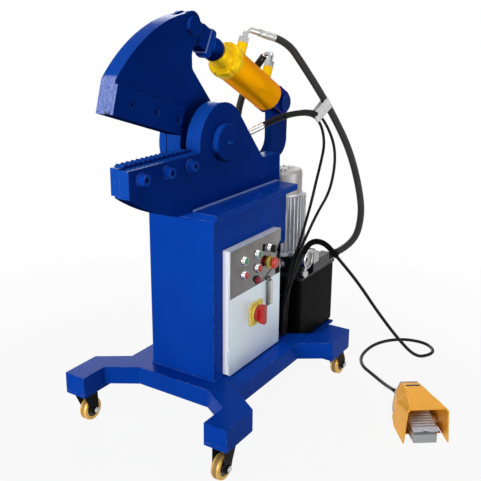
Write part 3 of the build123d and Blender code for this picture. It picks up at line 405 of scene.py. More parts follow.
def barrel_coat(name, colour, other, boss, origin, axis, at_length, at_radius):
    """Flake enamel, with another colour near the origin along an axis and a third far out from it."""
    gold_sheen = (0.62, 0.3, 0.01, 1)
    mat, tree, shader, at = begin(name, Specular_IOR_Level=0.02, Metallic=0.75, Specular_Tint=gold_sheen)
    soft, edge_mask = edges(tree, at, 0.0018, 55)
    off = less(tree, at, origin)
    past = ramp(tree, dot(tree, off, axis), at_length - 0.0006, at_length + 0.0006)
    main = drifting(tree, noise(tree, at, 6, 4), colour, 0.92, 1.06)
    paint = between(tree, past, shade(other, 1), main)
    arm = put(tree, "VectorMath", {0: off, 1: axis}, operation="CROSS_PRODUCT").outputs["Vector"]
    on_boss = ramp(tree, length_of(tree, arm), at_radius, at_radius + 0.006)
    paint = between(tree, on_boss, paint, shade(boss, 1))
    pale = shade([0.7 * c + 0.2 for c in colour], 1)
    paint = between(tree, times(tree, edge_mask, 0.25), paint, pale)
    connect(tree, shader, paint, patchy(tree, at, (0.3, 0.44)), orange_peel(tree, at, soft))
    return mat


def metal(name, colour, rough, grain=(60, 60, 900), bump=0.08):
    """Bare metal: stretched noise for the tool marks in gloss, tone and bump, brighter along edges."""
    mat, tree, shader, at = begin(name, Metallic=1.0)
    soft, edge_mask = edges(tree, at, 0.0008, 90)
    marks = noise(tree, stretched(tree, at, grain), 1.0, 4)
    tone = between(tree, ramp(tree, marks, 0.3, 0.7), shade(colour, 0.82), shade(colour, 1.08))
    tone = between(tree, edge_mask, tone, shade(colour, 1.3))
    gloss = ramp(tree, marks, 0.25, 0.75, *rough)
    connect(tree, shader, tone, gloss, bumped(tree, bump, 0.0005, marks, soft))
    return mat


def moulded(
    name, colour, rough=(0.3, 0.48), grain=900, bump=0.1, level=0.4, edge=0.001, drift=0.08, flake=0.0
):
    """Moulded plastic: spark-eroded grain, slight tone drift, paler rubbed edges."""
    mat, tree, shader, at = begin(name, Specular_IOR_Level=level, Metallic=flake)
    soft, edge_mask = edges(tree, at, edge, 70)
    tone = drifting(tree, noise(tree, at, 7, 3), colour, 1 - drift, 1 + drift)
    pale = shade([0.6 * c + 0.12 for c in colour], 1)
    tone = between(tree, times(tree, edge_mask, 0.35), tone, pale)
    gloss = ramp(tree, noise(tree, at, 30, 4), 0.3, 0.7, *rough)
    pits = put(tree, "TexVoronoi", {"Vector": at, "Scale": grain}).outputs["Distance"]
    connect(tree, shader, tone, gloss, bumped(tree, bump, 0.0004, pits, soft))
    return mat


def sheath(name, colour, rings, slant, level, rough=(0.42, 0.62), bump=0.35):
    """Cord cover: fine wound ridges on the piece's own UV, u round it and v along it in metres,
    with dust in patches."""
    mat, tree, shader, at = begin(name, Specular_IOR_Level=level)
    wound = stretched(tree, put(tree, "UVMap", uv_map="along").outputs[0], (slant, rings, 1))
    wave = {"Vector": wound, "Scale": 1.0, "Distortion": 0.4, "Detail": 1.0}
    ridge = put(tree, "TexWave", wave, bands_direction="DIAGONAL").outputs["Fac"]
    dust = ramp(tree, noise(tree, at, 24, 5), 0.45, 0.75)
    tone = between(tree, dust, shade(colour, 0.85), shade([c * 1.25 + 0.01 for c in colour], 1))
    connect(tree, shader, tone, ramp(tree, dust, 0, 1, *rough), bumped(tree, bump, 0.0006, ridge))
    return mat


# Line of the cylinder, from the tail pin to the rod pin

TAIL = np.array([445.0, 52, 950])
ROD_REACH = np.array([-523.0, 0, 269])
ROD_SPAN = float(np.linalg.norm(ROD_REACH))
along = unit(ROD_REACH)
up_cyl = np.array([along[2], 0, -along[0]])


# Colours

# Its pale, strong edge share is partly rubbed paint and partly a painted highlight along the edges.
machine_blue = enamel(
    "machine_blue", (0.002, 0.052, 0.4), (0.22, 0.36, 0.78), level=0.016, edge=0.0028, wear_and_highlight=0.75
)
# Plate paints: the darker face colour is painted shade on the rolled faces, the paler cut colour painted
# light on the cut faces.
plate_blue = plate("plate_blue", (0.0006, 0.028, 0.25), (0.005, 0.07, 0.43), (0.5, 0.6, 0.85))
# The jaw's tip point and normal mark where the painted glints go.
jaw_blue = plate(
    "jaw_blue",
    (0.0006, 0.027, 0.24),
    (0.005, 0.065, 0.42),
    (0.55, 0.62, 0.9),
    glint_tip=((-0.44, 0, 1.005), (-0.955, 0, 0.296)),
)
# Weld paint: a lighter blue than the frame's, as painted highlight on the beads.
weld_highlight_blue = enamel(
    "weld_highlight_blue", (0.1, 0.2, 0.58), (0.5, 0.56, 0.75), rough=(0.12, 0.3), level=0.5, wear_and_highlight=0.9
)
barrel_orange = barrel_coat(
    "barrel_orange",
    colour=(1.0, 0.42, 0.002),
    other=(0.001, 0.03, 0.24),
    boss=(1.0, 0.62, 0.008),
    origin=TAIL / 1000,
    axis=along,
    at_length=0.058,
    at_radius=0.057,
)
gland_yellow = enamel(
    "gland_yellow", (1.0, 0.6, 0.006), (0.95, 0.8, 0.3), rough=(0.36, 0.5), wear_and_highlight=0.3, level=0.05, flake=0.42
)
silver_paint = enamel(
    "silver_paint", (0.8, 0.81, 0.84), (0.9, 0.9, 0.9), rough=(0.32, 0.46), wear_and_highlight=0.4, level=0.3, flake=0.45
)
cowl_grey = enamel(
    "cowl_grey", (0.53, 0.51, 0.5), (0.6, 0.6, 0.6), rough=(0.35, 0.5), wear_and_highlight=0.4, level=0.3, flake=0.25
)
box_grey = enamel(
    "box_grey", (0.97, 0.97, 0.97), (0.85, 0.85, 0.85), rough=(0.3, 0.45), wear_and_highlight=0.1, drift=0.02
)
door_grey = enamel(
    "door_grey", (0.7, 0.8, 0.86), (0.8, 0.8, 0.8), rough=(0.42, 0.54), wear_and_highlight=0.2, drift=0.04, flake=0.7
)
caster_black = enamel("caster_black", (0.012, 0.012, 0.013), (0.2, 0.2, 0.2), rough=(0.3, 0.5), wear_and_highlight=0.5)
chrome = metal("chrome", (0.62, 0.62, 0.64), rough=(0.06, 0.14), bump=0.01)
zinc = metal("zinc", (0.52, 0.52, 0.51), rough=(0.2, 0.36))
dark_steel = metal("dark_steel", (0.16, 0.16, 0.17), rough=(0.3, 0.5))
bronze = metal("bronze", (0.5, 0.33, 0.14), rough=(0.3, 0.5))
mirror_panel = metal(
    "mirror_panel", (0.17, 0.165, 0.163), rough=(0.04, 0.1), grain=(30, 700, 30), bump=0.005
)
tank_black = moulded("tank_black", (0.007, 0.007, 0.007), rough=(0.3, 0.42), grain=700, level=0.01)
# The lid's black is lighter than the tank's as painted light on its up-facing top.
lid_lit_black = moulded("lid_lit_black", (0.027, 0.028, 0.03), rough=(0.3, 0.45), grain=700, level=0.12)
block_black = moulded("block_black", (0.022, 0.024, 0.022), rough=(0.35, 0.5), grain=700, level=0.05)
switch_black = moulded("switch_black", (0.012, 0.012, 0.013), rough=(0.28, 0.45))
white_plastic = moulded("white_plastic", (0.72, 0.72, 0.7))
button_green = moulded("button_green", (0.01, 0.3, 0.07), rough=(0.12, 0.22), bump=0.02, level=0.5)
button_red = moulded("button_red", (0.55, 0.012, 0.012), rough=(0.12, 0.22), bump=0.02, level=0.5)
stop_red = moulded("stop_red", (0.68, 0.04, 0.015), rough=(0.15, 0.28), bump=0.03, level=0.5)
handle_red = moulded("handle_red", (0.55, 0.025, 0.02), rough=(0.25, 0.4))
lamp_red = moulded("lamp_red", (0.34, 0.004, 0.03), rough=(0.1, 0.2), bump=0.02, level=0.3)
plate_yellow = moulded("plate_yellow", (1.0, 0.76, 0.12), rough=(0.3, 0.45), bump=0.03)
wheel_gold = moulded(
    "wheel_gold", (0.86, 0.52, 0.12), rough=(0.26, 0.4), bump=0.05, level=0.2, drift=0.16, flake=0.3
)
tread_brown = moulded("tread_brown", (0.4, 0.22, 0.07), rough=(0.35, 0.55), bump=0.1, drift=0.2)
hood_orange = moulded(
    "hood_orange",
    (1.0, 0.45, 0.045),
    rough=(0.36, 0.5),
    grain=500,
    bump=0.08,
    level=0.12,
    edge=0.004,
    flake=0.4,
)
treadle_grey = moulded("treadle_grey", (0.6, 0.64, 0.73), rough=(0.35, 0.5), grain=600, level=0.15)
base_grey = moulded("base_grey", (0.42, 0.43, 0.45), rough=(0.35, 0.5), grain=600, level=0.2)
hose_cover = sheath("hose_cover", (0.024, 0.024, 0.024), 900, 4, level=0.25)
tape_white = moulded(
    "tape_white", (0.95, 0.95, 0.95), rough=(0.55, 0.75), grain=260, bump=0.3, level=0.2, edge=0.0005
)
lead_cover = sheath("lead_cover", (0.006, 0.006, 0.0065), 300, 0, rough=(0.3, 0.5), bump=0.08, level=0.1)

dressed = {
    machine_blue: "base_frame caster_plates column top_plate tail_pin lower_blade_bolts",
    plate_blue: "lower_jaw lower_blade far_cheek tail_plate pivot_pin rod_eye rod_pin",
    jaw_blue: "upper_jaw upper_blade upper_blade_bolts",
    barrel_orange: "cylinder_barrel",
    gland_yellow: "cylinder_gland",
    chrome: "piston_rod button_bezels",
    zinc: "lock_handle port_fittings limit_switch pump motor_rotor pressure_gauge",
    bronze: "jaw_bush",
    box_grey: "cabinet_shell control_gear",
    door_grey: "cabinet_door",
    tank_black: "tank",
    lid_lit_black: "tank_lid",
    block_black: "valve_block",
    switch_black: "solenoid_valve selector_knob gauge_pointer",
    silver_paint: "motor_housing",
    cowl_grey: "fan_cowl",
    caster_black: "caster_fork_fl caster_fork_fr caster_fork_rl caster_fork_rr",
    wheel_gold: "caster_wheel_fl caster_wheel_fr caster_wheel_rl caster_wheel_rr",
    button_green: "green_button_left green_button_right",
    button_red: "red_button_left red_button_right",
    stop_red: "estop_head",
    handle_red: "isolator_handle",
    lamp_red: "pilot_lamp",
    base_grey: "foot_base",
    treadle_grey: "treadle",
    hood_orange: "foot_hood",
}
for finish, names in dressed.items():
    for name in names.split():
        for material_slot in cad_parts[name].material_slots:
            material_slot.material = finish


# Cords

def route_line(name, points):
    """Points of the smooth NURBS line with the route's points, in millimetres, as control points."""
    curve = bpy.data.curves.new(name, "CURVE")
    curve.dimensions = "3D"
    curve.resolution_u = 10
    spline = curve.splines.new("NURBS")
    spline.points.add(len(points) - 1)
    flat = np.column_stack([np.asarray(points, float) / 1000, np.ones(len(points))])
    spline.points.foreach_set("co", flat.ravel())
    spline.order_u = 3
    spline.use_endpoint_u = True
    thing = bpy.data.objects.new(name, curve)
    bpy.context.scene.collection.objects.link(thing)
    bpy.context.view_layer.update()
    mesh = bpy.data.meshes.new_from_object(thing)
    out = np.empty(len(mesh.vertices) * 3)
    mesh.vertices.foreach_get("co", out)
    bpy.data.objects.remove(thing)
    bpy.data.meshes.remove(mesh)
    return out.reshape(-1, 3)


def lead(name, points, radius, finish, node, across=None, sides=18):
    """Round cover along the route's smooth line, and that line; u goes round it, v along it."""
    path = route_line(name + "_route", points)
    run = np.concatenate([[0], np.cumsum(np.linalg.norm(np.diff(path, axis=0), axis=1))])
    v = np.repeat(np.concatenate([run[:1], run, run[-1:]]), sides)
    u = np.tile(np.linspace(0, 1, sides, endpoint=False), len(path) + 2)
    cover = tube(path, radius, sides)
    body = None if across else "frame"
    thing = piece(name, [cover], finish, body, uv=np.column_stack([u, v]), scale=1)
    if across:
        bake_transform(thing)
    if node:
        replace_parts(thing, node)
    return thing, path


hose_near_route = [
    (345, 10, 1178),
    (404, -17.7, 1160.3),
    (432, -64, 1085),
    (470, -108, 1000),
    (520, -142, 912),
    (565, -190, 790),
    (605, -218, 650),
    (628, -228, 530),
    (614.3, -206.5, 419),
    (545, -157, 392),
]
hose_far_route = [
    (432, 110, 1083),
    (426.8, 146.4, 1034.9),
    (414, 165, 975),
    (405, 180, 905),
    (408, 186, 830),
    (422, 172, 735),
    (436, 150, 640),
    (440, 128, 545),
    (434, 112, 460),
]
sensor_lead_1_route = [
    (251.7, -18, 889.6),
    (308.1, -51.8, 913.8),
    (372, -90, 926),
    (436, -114, 915),
    (472, -126, 874),
    (472, -139, 812),
    (442, -141, 750),
    (410, -141, 688),
    (380, -140, 618),
    (342, -139, 552),
    (302, -138, 482),
    (248, -134, 420),
    (224, -130, 300),
    (224, -130, 178),
]
sensor_lead_2_route = [
    (248.3, -16, 900.4),
    (304.6, -49.8, 924.7),
    (371, -89, 936),
    (446, -118, 925),
    (494, -130, 882),
    (520, -148, 820),
    (514, -162, 765),
    (494, -167, 700),
    (460, -166, 637),
    (400, -156, 584),
    (318, -150, 500),
    (258, -143, 430),
    (236, -131, 300),
    (236, -131, 178),
]
foot_lead_route = [
    (212, -130, 178),
    (212, -130, 290),
    (218, -159, 392),
    (246, -174, 458),
    (300, -179, 508),
    (405, -184, 480),
    (500, -196, 395),
    (545, -260, 300),
    (580, -326, 190),
    (618, -402, 80),
    (655, -462, 6),
    (705, -502, 6),
    (757, -500, 6),
    (800, -444, 6),
    (780, -355, 6),
    (690, -289, 6),
    (560, -282, 6),
    (480, -318, 6),
    (436, -382, 6),
    (390, -442, 8),
    (312.9, -499.1, 40.5),
    (264.9, -535.2, 61.5),
]
HOSE_R, LEAD_R, FOOT_LEAD_R = 0.0125, 0.005, 0.006
hose_near, near_path = lead(
    "hose_near",
    hose_near_route,
    HOSE_R,
    hose_cover,
    "hose_a",
    across=((0.49, -0.125, 0.957), (0.37, 0.0, 1.17)),
    sides=24,
)
hose_far, far_path = lead(
    "hose_far",
    hose_far_route,
    HOSE_R,
    hose_cover,
    "hose_b",
    across=((0.405, 0.18, 0.905), (0.43, 0.115, 1.075)),
    sides=24,
)
sensor_lead_1, sensor_path_1 = lead(
    "sensor_lead_1", sensor_lead_1_route, LEAD_R, lead_cover, "sensor_cables"
)
sensor_lead_2, sensor_path_2 = lead("sensor_lead_2", sensor_lead_2_route, LEAD_R, lead_cover, None)
foot_lead, foot_path = lead("foot_lead", foot_lead_route, FOOT_LEAD_R, lead_cover, "foot_cable")


# Control box door: polished panel, plates, buttons and lamp

DOOR = -144.0
OUT = (0, -1, 0)
GREENS = [(-62, 535), (16, 535)]
REDS = [(-62, 490), (16, 490)]
SELECTOR, STOP, LAMP = (90, 536), (94, 487), (14, 451)
ISOLATOR, LOCK = (8, 342), (86, 390)


def on_door(profile, place, steps=48):
    """Turned shape that stands out from the door's face at a place, its x and z."""
    return turned(profile, (place[0], DOOR, place[1]), OUT, steps)


def door_block(place, half, front, back, r):
    """Rounded block about a place on the door, between two heights on its face."""
    (x, z), (half_x, half_z) = place, half
    return pillow_block((x - half_x, DOOR - front, z - half_z), (x + half_x, DOOR - back, z + half_z), r)


panel = door_block((11, 508.5), (150, 75.5), 0.8, -0.6, 0.4)
piece("door_panel", [panel], mirror_panel, "door")

bezel = [
    (10.5, 0.5),
    (10.5, 9.4),
    (11.2, 10.4),
    (12.4, 10.2),
    (13.2, 9),
    (13.8, 4),
    (15.2, 2.6),
    (15.4, 0.5),
    (10.5, 0.5),
]
bezels = [on_door(bezel, place) for place in [*GREENS, *REDS, SELECTOR]]
rings = piece("bezel_rings", bezels, chrome, "door")
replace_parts(rings, "button_bezels")

flush_cap = [(0, 12.2), (5, 12.2), (8.4, 11.9), (9.6, 11), (10, 9.6), (10, 5.2), (0, 5.2)]
raised_cap = [(0, 15.4), (5, 15.3), (8.4, 14.8), (9.6, 13.8), (10, 12), (10, 6), (0, 6)]
caps = [
    ("green_left", flush_cap, button_green, "button_green", GREENS[0], "green_button_left"),
    ("green_right", flush_cap, button_green, "button_green", GREENS[1], "green_button_right"),
    ("red_left", raised_cap, button_red, "button_red", REDS[0], "red_button_left"),
    ("red_right", raised_cap, button_red, "button_red", REDS[1], "red_button_right"),
]
for body, profile, finish, slot, place, node in caps:
    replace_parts(piece(body + "_cap", [on_door(profile, place)], finish, body), node)

stop_profile = [
    (0, 27.4),
    (6, 27.2),
    (12, 26.2),
    (16.5, 24),
    (19.2, 21.2),
    (20, 18.6),
    (19.2, 16.2),
    (16.8, 14.8),
    (12, 14.2),
    (9.8, 13.4),
    (9.8, 8),
    (0, 8),
]
stop_cap = piece("stop_mushroom", [on_door(stop_profile, STOP, 64)], stop_red, "stop")
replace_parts(stop_cap, "estop_head")
collar_profile = [
    (10.6, 0.4),
    (10.6, 7),
    (11.4, 7.8),
    (18, 7.8),
    (20, 6.6),
    (22, 1.6),
    (22, 0.4),
    (10.6, 0.4),
]
piece("stop_collar", [on_door(collar_profile, STOP, 56)], plate_yellow, "door")

lamp_ring = [(11.4, 0.5), (11.4, 3), (12.2, 3.6), (13.6, 3), (14, 1.4), (14, 0.5), (11.4, 0.5)]
lamp_dome = [(0, 14), (4.4, 13.6), (8, 12), (10.4, 9), (11.4, 5.6), (11.4, 0.5), (0, 0.5)]
piece("lamp_ring", [on_door(lamp_ring, LAMP)], switch_black, "door")
lens = piece("lamp_lens", [on_door(lamp_dome, LAMP)], lamp_red, "door")
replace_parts(lens, "pilot_lamp")

isolator_square = [(0, -0.5), (37.6, -0.5), (38.6, 2), (38.6, 4), (37, 5.6), (0, 5.6)]
isolator_disc = [(7, 4), (28, 4), (29.5, 5.5), (29.5, 8), (27.5, 11), (7, 11), (7, 4)]
isolator_plate = [
    cushion(isolator_square, (ISOLATOR[0], DOOR, ISOLATOR[1]), OUT),
    on_door(isolator_disc, ISOLATOR, 64),
]
piece("isolator_plate", isolator_plate, plate_yellow, "door")
mark_places = np.add(ISOLATOR, [(-31, 30), (31, 30), (-33, 6), (-33, -4)])
marks = [door_block(place, (3.4, 1.2), 5.9, 5, 0.3) for place in mark_places]
piece("isolator_marks", marks, switch_black, "door")
escutcheon = door_block(LOCK, (11, 48), 5.4, -0.5, 2.2)
piece("lock_escutcheon", [escutcheon], dark_steel, "door")


# Power pack: gauge, valve plug, and fittings at the lower ends of the hoses

GAUGE = (325.0, -158.0, 432.0)
VALVE_PORT = (330, -60, 398)
TO_MOUTH = (-1, 0, 0)
dial = [(0, 0.6), (27.7, 0.6), (27.7, 0), (0, 0)]
piece("gauge_dial", [turned(dial, GAUGE, OUT, 56)], white_plastic, "frame")
gauge_rim = [(27.4, 6.2), (28.2, 8.4), (30, 9), (31.8, 8), (32.4, 5.6), (32.4, 1), (31.2, 0), (27.4, 6.2)]
piece("gauge_rim", [turned(gauge_rim, GAUGE, OUT, 56)], chrome, "frame")


def dial_tick(angle, inner, half):
    """Short radial bar on the dial at an angle from straight up."""
    corners, quads = pillow_block((-half, inner, 0.4), (half, 25.6, 0.9), 0.2, 2)
    c, s = math.cos(angle), math.sin(angle)
    return placed(corners @ np.array([[c, -s, 0], [s, c, 0], [0, 0, 1]]), GAUGE, OUT), quads


LONG_TICK, SHORT_TICK = (19.5, 0.7), (22.5, 0.35)
sweep = np.radians(np.linspace(-135, 135, 31))
ticks = [dial_tick(angle, *(SHORT_TICK if i % 5 else LONG_TICK)) for i, angle in enumerate(sweep)]
piece("gauge_ticks", ticks, switch_black, "frame")
plug = pillow_block((368, -166, 404), (406, -126, 444), 3.5)
piece("valve_plug", [plug], white_plastic, "frame")


def crimped(length, r):
    """Hose ferrule outline with seven pressed rings and rounded ends."""
    s = np.linspace(0, 1, 60)
    rings = 0.5 + 0.5 * np.cos(s * 7 * TURN)
    ends = np.minimum(1, np.minimum(s, 1 - s) * 14) ** 0.5
    wall = np.stack([r * (0.9 + 0.1 * ends) - 0.7 * rings * ends, s * length], -1)
    return np.concatenate([[(0, 0)], wall, [(0, length)]])


def run_out(route):
    """End of a route, and the way in which it leaves there."""
    end, before = np.array(route[-1], float), np.array(route[-2], float)
    return end, unit(end - before)


near_end, near_axis = run_out(hose_near_route)
far_end, far_axis = run_out(hose_far_route)
near_fittings = [
    turned(crimped(44, 14), near_end - 18 * near_axis, near_axis),
    hex_nut(near_end + 26 * near_axis, near_axis, 27, 15),
]
piece("near_hose_fitting", near_fittings, block_black, "frame")
fittings = [
    turned(crimped(58, 14), far_end - 16 * far_axis, far_axis),
    hex_nut(far_end + 42 * far_axis, far_axis, 27, 15),
    hex_nut(VALVE_PORT, TO_MOUTH, 30, 16),
    turned([(0, 0), (11, 0), (11, 30), (9, 32), (0, 32)], VALVE_PORT, TO_MOUTH, 28),
]
piece("hose_fittings", fittings, zinc, "frame")


# Cylinder: ferrules and elbows at the upper ends of the hoses, and the notched gland ring

def by_cylinder(length, up):
    """Place at a length along the cylinder's line from the tail pin, and up from that line."""
    return TAIL + length * along + up * up_cyl


FRONT_PORT, REAR_PORT = 285, 98
front_turn = by_cylinder(FRONT_PORT, 140)
rear_turn = np.array([436.0, 82, 1120])
front_start = np.array(hose_near_route[0], float)
rear_start = np.array(hose_far_route[0], float)
front_dir = unit(front_start - front_turn)
rear_dir = unit(rear_start - rear_turn)
front_ferrule = turned(crimped(46, 13.6), front_start - 32 * front_dir, front_dir)
piece("front_ferrule", [front_ferrule], zinc, "barrel")
rear_ferrule = turned(crimped(46, 13.6), rear_start - 32 * rear_dir, rear_dir)
piece("rear_ferrule", [rear_ferrule], block_black, "barrel")
front_line = [by_cylinder(FRONT_PORT, 104), front_turn, front_start - 30 * front_dir]
rear_line = [by_cylinder(REAR_PORT, 104), by_cylinder(REAR_PORT, 136), rear_turn, rear_start]
elbows = [tube(bent(front_line, 22), 10.2), tube(bent(rear_line, 13), 9.6)]
piece("port_elbows", elbows, zinc, "barrel", smooth=60)

gland_profile = [
    (26, 334),
    (55, 334),
    (57.4, 335.4),
    (58.6, 338),
    (58.8, 349),
    (58.2, 360),
    (56, 365),
    (52, 367.4),
    (39, 368),
    (37.4, 370),
    (37, 390),
    (36.6, 409),
    (35.4, 412.8),
    (33, 414),
    (26, 414),
    (26, 334),
]
gland_slots = np.radians(np.arange(6) * 60 + 12)
gland_shape = slotted_ring(gland_profile, TAIL, along, gland_slots, depth=6, width=0.075)
gland = piece("gland_ring", [gland_shape], gland_yellow, "barrel")
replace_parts(gland, "cylinder_gland")


# Blue sheets that close the gaps beside the tray, standing in for the shade under the tank

tray_shade_fillers = [pillow_block((232, y - 16.5, 113.5), (512, y + 16.5, 119.2), 1) for y in (-173.5, 173.5)]
piece("tray_shade_fillers", tray_shade_fillers, machine_blue, "frame")


# Welds

DECK, COLUMN_TOP, PLATE_TOP = 179, 682, 703


def level_bead(z, r, *plan):
    """Weld along x and y points at one height."""
    return bead([(x, y, z) for x, y in plan], r)


jaw_welds = [
    level_bead(PLATE_TOP, 5.5, (-186, -46), (299, -46)),
    level_bead(PLATE_TOP, 5.5, (-186, 6), (299, 6)),
    level_bead(PLATE_TOP, 5.5, (-150, 106), (150, 106)),
]
piece("jaw_welds", jaw_welds, weld_highlight_blue, "frame")
frame_welds = [
    level_bead(DECK, 4.5, (-188, -119), (-188, 119)),
    level_bead(DECK, 4.5, (-188, 119), (205, 119)),
    level_bead(DECK, 4.5, (-188, -119), (-140, -119)),
    level_bead(DECK, 4.5, (162, -119), (205, -119)),
    level_bead(DECK, 4.5, (206, -119), (206, 119)),
    level_bead(COLUMN_TOP, 3, (-188, -119), (206, -119)),
    level_bead(COLUMN_TOP, 3, (-188, 119), (206, 119)),
]
piece("frame_welds", frame_welds, machine_blue, "frame")


# Rod end: domed neck, rounded head, and the tongue that goes into the jaw's slot

rod_axes = np.stack([up_cyl, SIDE, along])


def at_rod(part):
    """Part drawn with the cylinder's own up, side and length, carried to the cylinder's line."""
    corners, quads = part
    return TAIL + corners @ rod_axes, quads


neck_profile = [
    (18.4, 420),
    (33, 420),
    (35, 422),
    (36, 430),
    (36, 442),
    (34, 452),
    (29, 462),
    (18.4, 466),
    (18.4, 420),
]
tongue_ring = [(20.2, -13), (37, -13), (38, -12), (38, 12), (37, 13), (20.2, 13), (20.2, -13)]
rod_end = [
    turned(neck_profile, TAIL, along, 56),
    at_rod(pillow_block((-37, -22, 484), (37, 22, 535), 7)),
    at_rod(pillow_block((-37, -13, 528), (37, 13, ROD_SPAN - 24), 2)),
    turned(tongue_ring, TAIL + ROD_REACH, SIDE, 56),
]
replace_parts(piece("rod_end", rod_end, plate_blue, "rod"), "rod_eye")
rod_head = at_rod(pillow_block((-45, -24, 456), (45, 24, 492), 13, 8))
piece("rod_end_head", [rod_head], machine_blue, "rod")
eye_corners = [(22, 36), (22, -36), (-22, -36), (-22, 36), (22, 36)]
eye_loop = [by_cylinder(491, up) + (0, y, 0) for y, up in eye_corners]
piece("rod_eye_weld", [bead(eye_loop, 3)], weld_highlight_blue, "rod")


# Casters: tyres with a darker running band, hubs, fork cheeks and axle nuts

CHEEK_R, CROWN_HALF, CROWN_UP = 16.0, 29.0, 60.0
NUT_SEAT = 21.5
hub = [
    (6.2, -14),
    (14, -14),
    (15.5, -10.5),
    (24.4, -10.5),
    (24.4, 10.5),
    (15.5, 10.5),
    (14, 14),
    (6.2, 14),
    (6.2, -14),
]
tyre = [
    (24, -10.8),
    (25, -13),
    (32, -14),
    (35.4, -12.6),
    (36.9, -9.6),
    (37.3, -7),
    (37.3, 7),
    (36.9, 9.6),
    (35.4, 12.6),
    (32, 14),
    (25, 13),
    (24, 10.8),
    (24, -10.8),
]
band = [(36.6, -6.4), (37.5, -5.8), (37.5, 5.8), (36.6, 6.4), (36.6, -6.4)]
stud = [(0, 0), (5, 0), (5, 8.5), (4, 9.5), (0, 9.5)]


def fork_cheek(axle, trail, y_in, y_out):
    """Pressed cheek: an outline that narrows from the crown to a round end at the axle, rim turned in."""
    half_turn = np.linspace(0, math.pi, 17)
    round_end = CHEEK_R * np.stack([np.cos(half_turn), -np.sin(half_turn)], -1)
    flare = np.linspace(1, 0, 12, endpoint=False)[::-1, None] ** 1.3
    right = flare * (CROWN_HALF - trail - CHEEK_R, CROWN_UP) + (CHEEK_R, 0)
    left = flare * (CHEEK_R - trail - CROWN_HALF, CROWN_UP) - (CHEEK_R, 0)
    outline = np.concatenate([right[::-1], round_end, left])
    rows = [(0, y_in), (0.96, y_in), (1, y_in + 0.6 * (y_out - y_in)), (0.97, y_out), (0, y_out)]
    return skin(axle + drawn_in(outline, outline.mean(axis=0), rows))


for tag, trail in {"fl": 15, "fr": -14, "rl": 22, "rr": 36}.items():
    low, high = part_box("caster_wheel_" + tag)
    middle = (np.array(low) + np.array(high)) / 2 * 1000
    body, fork = "wheel_" + tag, "swivel_" + tag
    wheel = piece("wheel_" + tag, [turned(tyre, middle, SIDE, 64)], wheel_gold, body)
    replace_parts(wheel, "caster_wheel_" + tag)
    piece("wheel_hub_" + tag, [turned(hub, middle, SIDE)], switch_black, body)
    piece("running_band_" + tag, [turned(band, middle, SIDE, 64)], tread_brown, body)
    cheeks = [fork_cheek(middle, trail, 19 * s, 22 * s) for s in (-1, 1)]
    piece("fork_cheeks_" + tag, cheeks, caster_black, fork)
    seats = [(middle + (0, NUT_SEAT * s, 0), (0, s, 0)) for s in (-1, 1)]
    nuts = [hex_nut(seat, way, 17, 7) for seat, way in seats]
    studs = [turned(stud, seat, way, 20) for seat, way in seats]
    piece("axle_nuts_" + tag, nuts + studs, zinc, fork)


# Tape that ties the near hose to the two sensor leads, and the sleeve on the foot lead

HOSE_LOOP, LEAD_LOOP, TAPE_HALF = 13.4, 10.0, 19


def nearest(path, axis, value):
    """Place on a path, in millimetres, where one coordinate is nearest a value, and the direction there."""
    i = int(np.argmin(np.abs(path[:, axis] * 1000 - value)))
    return path[i] * 1000, unit(path[i + 1] - path[i - 1])


hose_at, hose_dir = nearest(near_path, 2, 950)
lead_at = np.array([443.0, -117, 913])
toward = unit(lead_at - hose_at)
outward = unit(np.cross(toward, hose_dir))
a = full_turn(72)[None, :]
s = np.linspace(-TAPE_HALF, TAPE_HALF, 30)[:, None]
fold = 1 + 0.03 * np.sin(4 * a + s / 4) + 0.022 * np.sin(9 * a - s / 2.3)
by_hose = np.cos(a) < 0
loop_r = np.where(by_hose, HOSE_LOOP, LEAD_LOOP) * fold
centre = np.where(by_hose[..., None], hose_at, lead_at)
away = np.cos(a)[..., None] * toward + np.sin(a)[..., None] * outward
tape = centre + loop_r[..., None] * away + s[..., None] * hose_dir
hem = tape.mean(axis=1, keepdims=True)
tape = np.concatenate([0.9 * tape[:1] + 0.1 * hem[:1], tape, 0.9 * tape[-1:] + 0.1 * hem[-1:]])
tape_tie = piece("tape_tie", [skin(tape)], tape_white, "frame", smooth=60)

wrap_route = [(322, -60, 921), (371.5, -89.5, 931), (412, -107, 928), (440, -116, 920)]
wrap_line = route_line("wrap_route", wrap_route) * 1000
wrap = tube(wrap_line, np.linspace(8.6, 10.6, len(wrap_line)), 24)
lead_wrap = piece("lead_wrap", [wrap], block_black, "frame")

sleeve_from = int(np.argmin(np.abs(foot_path[:90, 0] - 0.262)))
sleeve_to = int(np.argmin(np.abs(foot_path[:110, 0] - 0.492)))
sleeve_path = foot_path[sleeve_from:sleeve_to] * 1000
sleeve_run = np.cumsum(np.linalg.norm(np.gradient(sleeve_path, axis=0), axis=1))
ribs = np.linspace(sleeve_run[0], sleeve_run[-1], int(sleeve_run[-1] / 1.1))
sleeve_fine = np.stack([np.interp(ribs, sleeve_run, sleeve_path[:, k]) for k in range(3)], -1)
sleeve = tube(sleeve_fine, 9.2 + 0.8 * np.sin(ribs * TURN / 4.4), 22)
ribbed_sleeve = piece("ribbed_sleeve", [sleeve], tank_black, "frame")


# Foot switch: back plate, slot, pan with its two skirts, which also cover the floor under the hood where
# only shade would show, and strain relief

TURN_FOOT = math.radians(-53)
foot_x = np.array([math.cos(TURN_FOOT), math.sin(TURN_FOOT), 0])
foot_y = np.array([-math.sin(TURN_FOOT), math.cos(TURN_FOOT), 0])
foot_axes = np.stack([foot_x, foot_y, [0, 0, 1.0]])
foot_origin = np.array([122.0, -683, 0])


def at_foot(part):
    """Part drawn in the foot switch's own frame, carried to its place on the floor."""
    corners, quads = part
    return foot_origin + corners @ foot_axes, quads


